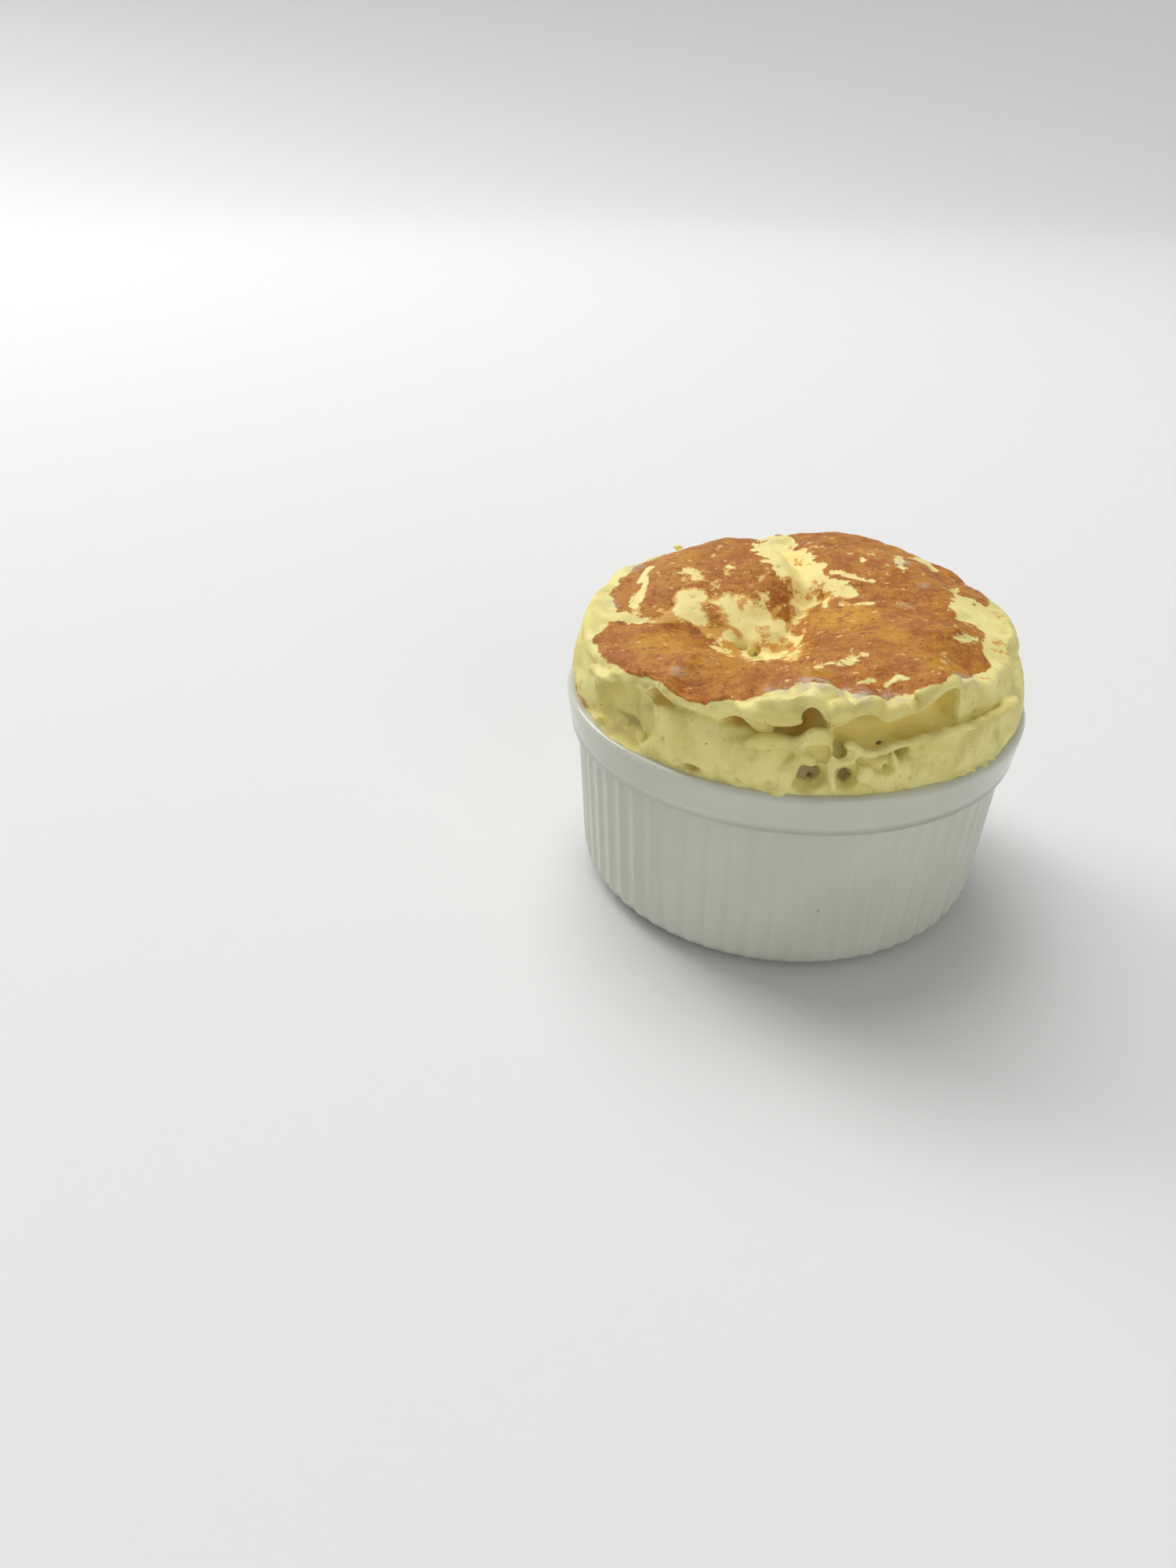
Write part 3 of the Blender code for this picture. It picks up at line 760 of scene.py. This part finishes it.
def remesh(mesh, voxel):
    """Even faces all over, with the painted values carried over."""
    obj = bpy.data.objects.new("to_remesh", mesh)
    bpy.context.scene.collection.objects.link(obj)
    bpy.context.view_layer.objects.active = obj
    obj.select_set(True)
    mesh.remesh_voxel_size = voxel
    mesh.use_remesh_preserve_attributes = True
    bpy.ops.object.voxel_remesh()
    result = obj.data
    bpy.data.objects.remove(obj)
    return result


def cut_plug(mesh):
    """Drops the remeshed part inside the dish for a plain plug down to its floor."""
    bm = bmesh.new()
    bm.from_mesh(mesh)
    geom = bm.verts[:] + bm.edges[:] + bm.faces[:]
    level = Vector((0.0, 0.0, RIM_HEIGHT - 2.2))
    bmesh.ops.bisect_plane(bm, geom=geom, plane_co=level, plane_no=(0, 0, 1), clear_inner=True)
    for scale, height in PLUG_LEVELS:
        rim = [e for e in bm.edges if e.is_boundary]
        below = bmesh.ops.extrude_edge_only(bm, edges=rim)["geom"]
        for vert in (v for v in below if isinstance(v, bmesh.types.BMVert)):
            vert.co.xy *= scale
            vert.co.z = height
    bmesh.ops.holes_fill(bm, edges=[e for e in bm.edges if e.is_boundary], sides=0)
    bmesh.ops.triangulate(bm, faces=bm.faces)
    bmesh.ops.recalc_face_normals(bm, faces=bm.faces)
    bm.to_mesh(mesh)
    bm.free()
    mesh.update()


def thin_out(mesh, triangles):
    """Fewer triangles where the surface is flat, with the painted values carried over."""
    obj = bpy.data.objects.new("to_thin", mesh)
    bpy.context.scene.collection.objects.link(obj)
    thin = obj.modifiers.new("thin", "DECIMATE")
    thin.ratio = min(1.0, triangles / len(mesh.polygons))
    depsgraph = bpy.context.evaluated_depsgraph_get()
    result = bpy.data.meshes.new_from_object(obj.evaluated_get(depsgraph))
    bpy.data.objects.remove(obj)
    return result


def smooth_skin(mesh, times):
    bm = bmesh.new()
    bm.from_mesh(mesh)
    for _ in range(times):
        bmesh.ops.smooth_vert(
            bm, verts=bm.verts, factor=0.5, use_axis_x=True, use_axis_y=True, use_axis_z=True
        )
    bm.to_mesh(mesh)
    bm.free()
    mesh.update()


def plan_of(points):
    """Where points show on the flat plan of the browning."""
    return points[:, 0].copy(), points[:, 1] + PLAN_SLOPE * (points[:, 2] - PLAN_HEIGHT)


def spots(x, y, table):
    """Soft round spots on the plan, the strongest where they overlap."""
    value = np.zeros_like(x)
    for cx, cy, radius, strength in table:
        near = np.clip(1.0 - np.hypot(x - cx, y - cy) / radius, 0.0, 1.0)
        value = np.maximum(value, strength * smooth(1.6 * near))
    return value


def browning(points):
    """How far inside the browned crust each point lies, in millimetres."""
    x, y = plan_of(points)
    x += 1.6 * noise_at(points, 6.5, 31) + 0.8 * noise_at(points, 2.6, 32)
    y += 1.6 * noise_at(points, 6.5, 41) + 0.8 * noise_at(points, 2.6, 42)
    reach = np.interp(np.degrees(np.arctan2(y, x)), *np.array(CRUST_OUTLINE).T)
    inside = reach - np.hypot(x, y)
    azimuth = np.degrees(np.arctan2(points[:, 1], points[:, 0]))
    _, edge_z = crust_edge(azimuth)
    radius = np.hypot(points[:, 0], points[:, 1])
    over_edge = points[:, 2] - (edge_z - 1.3 + 0.6 * noise_at(points, 2.5, 5))
    inside = np.where(radius > 36.0, np.minimum(inside, over_edge), inside)
    x += 0.7 * noise_at(points, 1.5, 33)
    y += 0.7 * noise_at(points, 1.5, 43)
    swell = 1.0 + 0.5 * noise_at(points, 2.0, 44)
    for x0, y0, x1, y1, half_width in PALE_PATCHES:
        inside = np.minimum(inside, along(x, y, x0, y0, x1, y1) - half_width * swell)
    for x0, y0, x1, y1, half_width in STAINS:
        inside = np.maximum(inside, half_width - along(x, y, x0, y0, x1, y1))
    return np.where(points[:, 2] > BROWNED_ABOVE, np.clip(inside, -6.0, 6.0), -6.0)


def stain_and_shade(points):
    """Thin orange stains on the pale top and the rim at the left; painted shade on the right
    shoulder.
    """
    x, y = plan_of(points)
    mottled = smooth(0.75 + 0.9 * noise_at(points, 2.2, 51) + 0.5 * noise_at(points, 0.9, 52))
    azimuth = np.degrees(np.arctan2(points[:, 1], points[:, 0]))
    centre, half_width, height, half_height = RIM_STAIN
    away = np.hypot(turn(azimuth, centre) / half_width, (points[:, 2] - height) / half_height)
    on_top = spots(x, y, WASHES_AND_SHADE) * (points[:, 2] > BROWNED_ABOVE)
    return np.maximum(on_top, smooth(1.5 - 1.3 * away)) * mottled


def round_spot(x, y, spot):
    """A round spot on the plan with a soft edge."""
    cx, cy, radius, edge = spot
    return smooth((radius - np.hypot(x - cx, y - cy)) / edge)


def relief(points, azimuth, crust, residue):
    """How far to push each point out, and how deep in a pore it lies, for the painted shade in
    the pores.
    """
    calm = around(azimuth, 1.0, CALM_SWELLS)
    push = np.zeros(len(points))
    for seed, (size, height) in enumerate(LUMPS):
        push += height * noise_at(points, size, 10 + seed) * mix(calm, 0.6, crust)
    near, number = bubbles_at(points, 2.6, 1)
    shaded_pore = (1.0 - smooth(near / mix(0.10, 0.34, number))) * (number > 0.66)
    push -= 0.28 * shaded_pore * (1.0 - crust)
    near, number = bubbles_at(points, 1.2, 2)
    push -= 0.08 * (1.0 - smooth(near / 0.38)) * (number > 0.7) * mix(1.0, 0.6, crust)
    push += 0.08 * crust + 0.2 * smooth(residue * 2.0 - 1.0)
    drawn = points * (0.45, 1.6, 1.0)
    push += crust * (0.24 * noise_at(drawn, 2.6, 21) + 0.13 * noise_at(drawn, 1.0, 22))
    return push, shaded_pore


def rough_surface(mesh):
    """Pushes the skin out and in along its normals, and paints what the materials read."""
    points = coordinates(mesh)
    normals = np.empty(len(points) * 3)
    mesh.vertices.foreach_get("normal", normals)
    azimuth = np.degrees(np.arctan2(points[:, 1], points[:, 0]))
    brown = browning(points)
    x, y = plan_of(points)
    upper = points[:, 2] > BROWNED_ABOVE
    residue = spots(x, y, RESIDUE) * upper * smooth(0.9 + noise_at(points, 1.7, 53))
    shown = smooth((points[:, 2] - RIM_HEIGHT - 0.3) / 1.6)
    push, shaded_pore = relief(points, azimuth, smooth(brown / 0.8 + 0.5), residue)
    points += normals.reshape(-1, 3) * (push * shown)[:, None]
    radius = np.maximum(np.hypot(points[:, 0], points[:, 1]), 1e-6)
    points[:, :2] *= (held_under(radius, WIDEST, 1.3) / radius)[:, None]
    points[:, 2] = held_under(points[:, 2], HIGHEST, 1.5)
    place_vertices(mesh, points)

    # the stains also hold the painted shade on the right shoulder
    stained_and_shaded = stain_and_shade(points)
    over_pale = stained_and_shaded * smooth(-brown / 1.5 - 0.7)
    over_crust = round_spot(x, y, RUBBED_MIDDLE) * smooth(brown / 3.0 + 0.9)
    first, last = MURKY_SLIT
    murky = smooth((last - azimuth) / 7.0) * smooth((azimuth - first) / 5.0)
    # the rim's film, whose duller parts are painted shade
    low = smooth((RIM_HEIGHT + 1.2 - points[:, 2]) / 0.7)
    centre, half_width = FILM_WITH_SHADE
    film_with_shade = low * smooth(1.6 - np.abs(turn(azimuth, centre)) / half_width)
    paint(mesh, "browned", brown)
    paint(mesh, "ragged", 1.0 - 0.8 * smooth((np.hypot(x, y) - 30.0) / 5.0))
    paint(mesh, "shaded_pore", shaded_pore)
    paint(mesh, "stain_and_shade", stained_and_shaded)
    paint(mesh, "rubbed_stain_and_shade", np.maximum(over_pale, over_crust))
    paint(mesh, "middle", upper * round_spot(x, y, PALE_MIDDLE))
    paint(mesh, "murky", murky)
    paint(mesh, "film_with_shade", film_with_shade)
    paint(mesh, "golden", spots(x, y, GOLDEN) * upper)
    paint(mesh, "residue", residue)


def rib_profile():
    """The ramekin's outside as (radius, height, share of a rib), base to rim and in."""
    ring = WALL_FOOT_RADIUS - BASE_ROUND
    inner = ring - FOOT_RING_WIDTH
    points = [
        (0.0, BASE_RECESS, 0.0),
        (inner - 1.0, BASE_RECESS, 0.0),
        (inner - 0.3, 0.7 * BASE_RECESS, 0.0),
        (inner + 0.3, 0.0, 0.0),
        (ring, 0.0, 0.0),
    ]
    for k in range(1, 9):
        a = math.radians(90 * k / 8)
        z = BASE_ROUND * (1.0 - math.cos(a))
        points.append((ring + BASE_ROUND * math.sin(a), z, float(smooth((k - 2.0) / 5.5))))
    band_foot = RIM_HEIGHT - BAND_HEIGHT
    for k in range(1, 13):
        t = k / 12
        z = mix(BASE_ROUND, band_foot - 1.5, t)
        points.append((mix(WALL_FOOT_RADIUS, WALL_TOP_RADIUS, t), z, 1.0))
    for k in range(1, 6):
        points.append((WALL_TOP_RADIUS + 0.05 * k, band_foot - 1.5 + 0.3 * k, 1.0 - 0.2 * k))
    for k in range(1, 4):
        a = math.radians(30 * k)
        r = BAND_FOOT_RADIUS - 0.5 * math.cos(a)
        points.append((r, band_foot + 0.5 * (1.0 - math.sin(a)), 0.0))
    for k in range(1, 5):
        t = k / 5
        points.append((mix(BAND_FOOT_RADIUS, RIM_RADIUS / MM / SCALE, t),
                       mix(band_foot + 0.5, RIM_HEIGHT - RIM_ROUND, t), 0.0))
    for k in range(7):
        a = math.radians(15 * k)
        r = RIM_RADIUS / MM / SCALE - RIM_ROUND * (1.0 - math.cos(a))
        points.append((r, RIM_HEIGHT - RIM_ROUND * (1.0 - math.sin(a)), 0.0))
    mouth = MOUTH_RADIUS
    points.append((mouth + MOUTH_FLARE, RIM_HEIGHT, 0.0))
    points.append((mouth + 0.5 * MOUTH_FLARE, RIM_HEIGHT - 0.3 * MOUTH_FLARE, 0.0))
    points.append((mouth, RIM_HEIGHT - 1.4 * MOUTH_FLARE, 0.0))
    points.append((mouth - 2.0, FLOOR_THICKNESS + 4.0, 0.0))
    points.append((mouth - 6.0, FLOOR_THICKNESS, 0.0))
    points.append((0.0, FLOOR_THICKNESS, 0.0))
    return points


def build_ramekin():
    """The dish turned from its profile, its wall drawn out into ribs between flutes."""
    profile = rib_profile()
    steps = RIB_COUNT * POINTS_PER_RIB
    bm = spun([(r, float(k)) if 0 < k < len(profile) - 1 else (0.0, float(k))
               for k, (r, _, _) in enumerate(profile)], steps)
    mesh = bpy.data.meshes.new("ramekin_glazed")
    bm.to_mesh(mesh)
    bm.free()
    points = coordinates(mesh)
    row = np.rint(points[:, 2]).astype(int)
    table = np.array(profile)
    angle = np.arctan2(points[:, 1], points[:, 0])
    wave = 0.5 + 0.5 * np.cos(angle * RIB_COUNT)
    rib = RIB_HEIGHT * wave ** RIB_SHARPNESS
    radius = table[row, 0] + table[row, 2] * rib
    arch = (1.0 - wave) * FLUTE_ARCH * np.where(table[row, 2] < 1.0, table[row, 2], 0.0)
    points[:, 0] = radius * np.cos(angle)
    points[:, 1] = radius * np.sin(angle)
    points[:, 2] = table[row, 1] + np.where(table[row, 1] > 20.0, arch, 0.0)
    place_vertices(mesh, points * MM * SCALE)
    mesh.shade_smooth()
    return new_object("ramekin_glazed", mesh, glaze_material())


def build_souffle():
    skin = shape_skin()
    add_knobs(skin)
    mesh = remesh(skin, VOXEL)
    smooth_skin(mesh, 6)
    rough_surface(mesh)
    smooth_skin(mesh, 2)
    cut_plug(mesh)
    mesh = thin_out(mesh, TRIANGLES)
    place_vertices(mesh, coordinates(mesh) * MM * SCALE)
    mesh.shade_smooth()
    return new_object("souffle_baked", mesh, souffle_material())


def node(tree, kind, **values):
    """Adds a shader node; keys that name an input set it, others set the node itself."""
    made = tree.nodes.new(kind)
    for key, value in values.items():
        if key in made.inputs:
            made.inputs[key].default_value = value
        else:
            setattr(made, key, value)
    return made


def noise_value(tree, scale, detail=2.0, roughness=0.5, stretch=None):
    """Noise in the object's own space, with scale in features to a millimetre."""
    place = tree.nodes.get("Place") or node(tree, "ShaderNodeTexCoord", name="Place")
    texture = node(tree, "ShaderNodeTexNoise", Scale=scale / MM, Detail=detail,
                   Roughness=roughness)
    source = place.outputs["Object"]
    if stretch:
        source = streaked(tree, source, stretch)
    tree.links.new(source, texture.inputs["Vector"])
    return texture.outputs["Fac"]


def streaked(tree, source, stretch):
    """Coordinates drawn out along brush streaks that wander a little."""
    bend = node(tree, "ShaderNodeTexNoise", Scale=0.06 / MM, Detail=1.0)
    tree.links.new(source, bend.inputs["Vector"])
    offset = node(tree, "ShaderNodeVectorMath", operation="MULTIPLY_ADD")
    tree.links.new(bend.outputs["Color"], offset.inputs[0])
    offset.inputs[1].default_value = (0.012, 0.012, 0.0)
    tree.links.new(source, offset.inputs[2])
    drawn = node(tree, "ShaderNodeVectorMath", operation="MULTIPLY")
    tree.links.new(offset.outputs[0], drawn.inputs[0])
    drawn.inputs[1].default_value = stretch
    return drawn.outputs[0]


def specks_group():
    """Scattered specks of uneven size: their scale and reach in, a mask out."""
    group = bpy.data.node_groups.new("Specks", "ShaderNodeTree")
    socket = group.interface.new_socket
    socket("Scale", in_out="INPUT", socket_type="NodeSocketFloat")
    socket("Reach", in_out="INPUT", socket_type="NodeSocketFloat")
    socket("Mask", in_out="OUTPUT", socket_type="NodeSocketFloat")
    given = group.nodes.new("NodeGroupInput")
    place = node(group, "ShaderNodeTexCoord")
    ragged = node(group, "ShaderNodeTexNoise", Scale=1.3 / MM, Detail=3.0)
    group.links.new(place.outputs["Object"], ragged.inputs["Vector"])
    dots = node(group, "ShaderNodeTexVoronoi")
    group.links.new(place.outputs["Object"], dots.inputs["Vector"])
    group.links.new(given.outputs["Scale"], dots.inputs["Scale"])
    number = node(group, "ShaderNodeSeparateColor")
    group.links.new(dots.outputs["Color"], number.inputs[0])
    size = maths(group, "MULTIPLY", given.outputs["Reach"],
                 maths(group, "ADD", number.outputs[0], maths(group, "MULTIPLY",
                       maths(group, "SUBTRACT", ragged.outputs["Fac"], 0.5), 1.6)))
    over = maths(group, "SUBTRACT", size, dots.outputs["Distance"])
    mask = stepped(group, over, 0.0, 0.05)
    result = group.nodes.new("NodeGroupOutput")
    group.links.new(mask, result.inputs["Mask"])
    return group


def specks_value(tree, scale, reach):
    """The specks' mask, with scale in specks to a millimetre."""
    group = bpy.data.node_groups.get("Specks") or specks_group()
    made = node(tree, "ShaderNodeGroup", node_tree=group)
    made.inputs["Scale"].default_value = scale / MM
    made.inputs["Reach"].default_value = reach
    return made.outputs["Mask"]


def stepped(tree, value, start, end):
    """An eased step of a value: 0 at start, 1 at end."""
    made = node(tree, "ShaderNodeMapRange", interpolation_type="SMOOTHSTEP")
    made.inputs["From Min"].default_value = start
    made.inputs["From Max"].default_value = end
    tree.links.new(value, made.inputs["Value"])
    return made.outputs["Result"]


def maths(tree, operation, a, b):
    made = node(tree, "ShaderNodeMath", operation=operation)
    for socket, value in zip(made.inputs, (a, b)):
        if isinstance(value, (int, float)):
            socket.default_value = value
        else:
            tree.links.new(value, socket)
    return made.outputs[0]


def blend(tree, share, a, b):
    """Two colours mixed by a share; each is a colour or a socket."""
    made = node(tree, "ShaderNodeMix", data_type="RGBA")
    for socket, value in zip((made.inputs[0], made.inputs[6], made.inputs[7]), (share, a, b)):
        if isinstance(value, (int, float)):
            socket.default_value = value
        elif isinstance(value, tuple):
            socket.default_value = (*value, 1.0)
        else:
            tree.links.new(value, socket)
    return made.outputs[2]


def shade(name):
    """The linear colour of a named shade."""
    def linear(c):
        c /= 255
        return c / 12.92 if c <= 0.04045 else ((c + 0.055) / 1.055) ** 2.4
    return tuple(linear(c) for c in SHADES[name])


def attribute(tree, name):
    return node(tree, "ShaderNodeAttribute", attribute_name=name).outputs["Fac"]


def toned(tree, colour, mask, share, name):
    """A colour with a named shade laid over it by a mask, at most by a share."""
    return blend(tree, maths(tree, "MULTIPLY", mask, share), colour, shade(name))


def new_material(name):
    material = bpy.data.materials.new(name)
    material.use_nodes = True
    return material, material.node_tree, material.node_tree.nodes["Principled BSDF"]


def bumped(tree, shader, height, distance):
    bump = node(tree, "ShaderNodeBump", Strength=1.0, Distance=distance * MM)
    tree.links.new(height, bump.inputs["Height"])
    tree.links.new(bump.outputs["Normal"], shader.inputs["Normal"])


def crumb_colour(tree):
    """Pale yellow crumb: blotched, creamy on top, with painted shade in hollows and pores,
    browner in stains.
    """
    colour = blend(tree, stepped(tree, noise_value(tree, 0.13, 3.0), 0.38, 0.62),
                   shade("crumb"), shade("deeper crumb"))
    colour = blend(tree, stepped(tree, noise_value(tree, 0.25, 3.0, 0.6), 0.46, 0.74),
                   colour, shade("blotch"))
    colour = toned(tree, colour, attribute(tree, "middle"), 0.6, "cream middle")
    inside = blend(tree, attribute(tree, "murky"), shade("slit"), shade("browned slit"))
    colour = blend(tree, stepped(tree, attribute(tree, "slit"), 0.4, 4.5), colour, inside)
    # painted shade: the deepest hollows and pits are darkened
    colour = blend(tree, stepped(tree, attribute(tree, "shaded_hollow"), 1.8, 3.0),
                   colour, shade("shaded_hollow"))
    # painted shade in the pores
    colour = toned(tree, colour, attribute(tree, "shaded_pore"), 0.6, "shaded_pore")
    colour = toned(tree, colour, specks_value(tree, 0.65, 0.13), 0.7, "crumb speck")
    # the rim's film, mottled with a duller copy that is partly painted shade
    film = blend(tree, stepped(tree, noise_value(tree, 0.25, 3.0, 0.6), 0.42, 0.62),
                 shade("film"), shade("shaded film"))
    colour = blend(tree, attribute(tree, "film_with_shade"), colour, film)
    # thin orange stain, which on the right shoulder is partly painted shade
    rubbed_stain_and_shade = attribute(tree, "rubbed_stain_and_shade")
    thin = maths(tree, "ADD", noise_value(tree, 0.3, 6.0, 0.75),
                 maths(tree, "MULTIPLY", rubbed_stain_and_shade, 0.24))
    thin = maths(tree, "MULTIPLY", stepped(tree, thin, 0.60, 0.70),
                 stepped(tree, rubbed_stain_and_shade, 0.0, 0.3))
    return toned(tree, colour, thin, 0.85, "thin stain and shade")


def crust_colour(tree):
    """Brushed golden to orange-brown crust with chips, dark streaks and specks."""
    streaks = noise_value(tree, 0.4, 5.0, 0.7, (0.75, 1.1, 1.0))
    colour = blend(tree, stepped(tree, noise_value(tree, 0.2, 4.0, 0.65), 0.42, 0.58),
                   shade("crust"), shade("browner crust"))
    golden = maths(tree, "MULTIPLY", attribute(tree, "golden"),
                   stepped(tree, noise_value(tree, 0.3, 4.0, 0.7), 0.30, 0.50))
    colour = blend(tree, golden, colour, shade("golden crust"))
    colour = toned(tree, colour, stepped(tree, streaks, 0.50, 0.62), 0.4, "streak")
    dark = noise_value(tree, 0.8, 4.0, 0.65)
    colour = toned(tree, colour, stepped(tree, dark, 0.50, 0.66), 0.6, "dark fleck")
    bright = noise_value(tree, 1.1, 4.0, 0.65)
    colour = toned(tree, colour, stepped(tree, bright, 0.52, 0.68), 0.5, "bright fleck")
    chips = maths(tree, "ADD", noise_value(tree, 0.45, 4.0, 0.65),
                  maths(tree, "MULTIPLY", attribute(tree, "stain_and_shade"), 0.08))
    colour = toned(tree, colour, stepped(tree, chips, 0.63, 0.65), 0.85, "chip")
    return toned(tree, colour, specks_value(tree, 0.5, 0.2), 0.7, "crust speck")


def souffle_material():
    """Crumb and crust, told apart by the painted browning."""
    material, tree, shader = new_material("souffle")
    brown = attribute(tree, "browned")
    coarse = maths(tree, "SUBTRACT", noise_value(tree, 0.45, 3.0, 0.6), 0.5)
    fine = maths(tree, "SUBTRACT", noise_value(tree, 1.3, 5.0, 0.7), 0.5)
    wild = maths(tree, "ADD", attribute(tree, "ragged"),
                 maths(tree, "MULTIPLY", attribute(tree, "stain_and_shade"), 3.0))
    ragged = maths(tree, "ADD", maths(tree, "MULTIPLY", coarse, 2.0),
                   maths(tree, "MULTIPLY", fine, maths(tree, "MULTIPLY", wild, 2.0)))
    crust = stepped(tree, maths(tree, "ADD", brown, ragged), -0.15, 0.25)
    colour = blend(tree, crust, crumb_colour(tree), crust_colour(tree))
    chalk = maths(tree, "MULTIPLY", attribute(tree, "residue"),
                  stepped(tree, noise_value(tree, 0.8, 4.0, 0.7, (0.5, 1.3, 1.0)), 0.40, 0.54))
    colour = toned(tree, colour, chalk, 0.8, "chalk")
    tree.links.new(colour, shader.inputs["Base Color"])

    rough = node(tree, "ShaderNodeMapRange")
    rough.inputs["To Min"].default_value = 0.50
    rough.inputs["To Max"].default_value = 0.44
    tree.links.new(crust, rough.inputs["Value"])
    tree.links.new(rough.outputs["Result"], shader.inputs["Roughness"])
    shader.inputs["Specular IOR Level"].default_value = 0.26
    shader.inputs["Subsurface Weight"].default_value = 0.12
    shader.inputs["Subsurface Radius"].default_value = (1.0, 0.7, 0.3)
    shader.inputs["Subsurface Scale"].default_value = 1.5 * MM
    leather = maths(tree, "SUBTRACT", noise_value(tree, 0.9, 4.0, 0.6, (0.8, 1.1, 1.0)), 0.5)
    grain = maths(tree, "MULTIPLY", noise_value(tree, 1.5, 4.0, 0.65), 0.5)
    height = maths(tree, "ADD", grain, maths(tree, "MULTIPLY", crust, maths(
        tree, "MULTIPLY", leather, 2.2)))
    bumped(tree, shader, height, 0.25)
    return material


def glaze_material():
    """White glaze, faintly green-grey, with the slight waviness of a dipped dish."""
    material, tree, shader = new_material("porcelain")
    tint = blend(tree, stepped(tree, noise_value(tree, 0.05, 2.0), 0.3, 0.7),
                 shade("glaze"), shade("greener glaze"))
    tint = toned(tree, tint, specks_value(tree, 0.10, 0.05), 0.6, "dust")
    tree.links.new(tint, shader.inputs["Base Color"])
    rough = node(tree, "ShaderNodeMapRange")
    rough.inputs["To Min"].default_value = 0.14
    rough.inputs["To Max"].default_value = 0.26
    tree.links.new(noise_value(tree, 0.2, 3.0), rough.inputs["Value"])
    tree.links.new(rough.outputs["Result"], shader.inputs["Roughness"])
    bumped(tree, shader, noise_value(tree, 0.12, 2.0), 0.2)
    return material


def build_floor():
    """A pale floor that curves up to a wall all round, so no horizon shows."""
    arc = [(FLOOR_RADIUS + FLOOR_SWEEP * math.sin(math.radians(a)),
            FLOOR_SWEEP - FLOOR_SWEEP * math.cos(math.radians(a)))
           for a in range(0, 91, 5)]
    section = [(0.0, 0.0), *arc, (FLOOR_RADIUS + FLOOR_SWEEP, WALL_TOP)]
    bm = bmesh.new()
    verts = [bm.verts.new((r, 0.0, z)) for r, z in section]
    edges = [bm.edges.new(pair) for pair in zip(verts, verts[1:])]
    bmesh.ops.spin(bm, geom=verts + edges, cent=(0, 0, 0), axis=(0, 0, 1), dvec=(0, 0, 0),
                   angle=math.tau, steps=64, use_merge=True, use_duplicate=False)
    bmesh.ops.remove_doubles(bm, verts=bm.verts, dist=1e-4)
    bmesh.ops.recalc_face_normals(bm, faces=bm.faces)
    mesh = bpy.data.meshes.new("floor")
    bm.to_mesh(mesh)
    bm.free()
    mesh.shade_smooth()
    material, _, shader = new_material("floor")
    shader.inputs["Base Color"].default_value = FLOOR_COLOUR
    shader.inputs["Roughness"].default_value = 0.9
    new_object("floor", mesh, material)


def add_light(name, place, size, watts):
    """A soft square light that faces the dish."""
    light = bpy.data.lights.new(name, "AREA")
    light.shape = "SQUARE"
    light.size = size
    light.energy = watts
    obj = bpy.data.objects.new(name, light)
    obj.location = place
    aim = Vector((0, 0, 0.04)) - Vector(place)
    obj.rotation_euler = aim.to_track_quat("-Z", "Y").to_euler()
    bpy.context.scene.collection.objects.link(obj)


def light_scene():
    world = bpy.data.worlds.new("studio")
    world.use_nodes = True
    sky = world.node_tree.nodes["Background"]
    sky.inputs["Color"].default_value = SKY_COLOUR
    sky.inputs["Strength"].default_value = SKY_STRENGTH
    bpy.context.scene.world = world
    for name, place, size, watts in LIGHTS:
        add_light(name, place, size, watts)


def place_camera():
    """Stands the camera where the photograph was taken from, at the photograph's tilt."""
    ahead = Vector((
        -math.sin(CAMERA_PAN) * math.cos(CAMERA_TILT),
        math.cos(CAMERA_PAN) * math.cos(CAMERA_TILT),
        -math.sin(CAMERA_TILT),
    ))
    level = Vector((math.cos(CAMERA_PAN), math.sin(CAMERA_PAN), 0.0))
    upright = level.cross(ahead)
    side = level * math.cos(CAMERA_ROLL) + upright * math.sin(CAMERA_ROLL)
    up = upright * math.cos(CAMERA_ROLL) - level * math.sin(CAMERA_ROLL)
    camera = bpy.data.objects.new("camera", bpy.data.cameras.new("camera"))
    camera.data.sensor_width = 36.0
    camera.data.lens = CAMERA_LENS
    camera.data.clip_start = 0.01
    turned = Matrix((side, up, -ahead)).transposed().to_4x4()
    camera.matrix_world = Matrix.Translation(Vector(CAMERA_PLACE) * RIM_RADIUS) @ turned
    bpy.context.scene.collection.objects.link(camera)
    bpy.context.scene.camera = camera
    bpy.context.scene.view_settings.view_transform = "Standard"


def main():
    ramekin = build_ramekin()
    souffle = build_souffle()
    for piece, solid, finish in (
        (ramekin, "ramekin", "porcelain"),
        (souffle, "souffle", "souffle"),
    ):
        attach(piece, "root")
        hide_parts(solid)
    build_floor()
    light_scene()
    place_camera()


main()
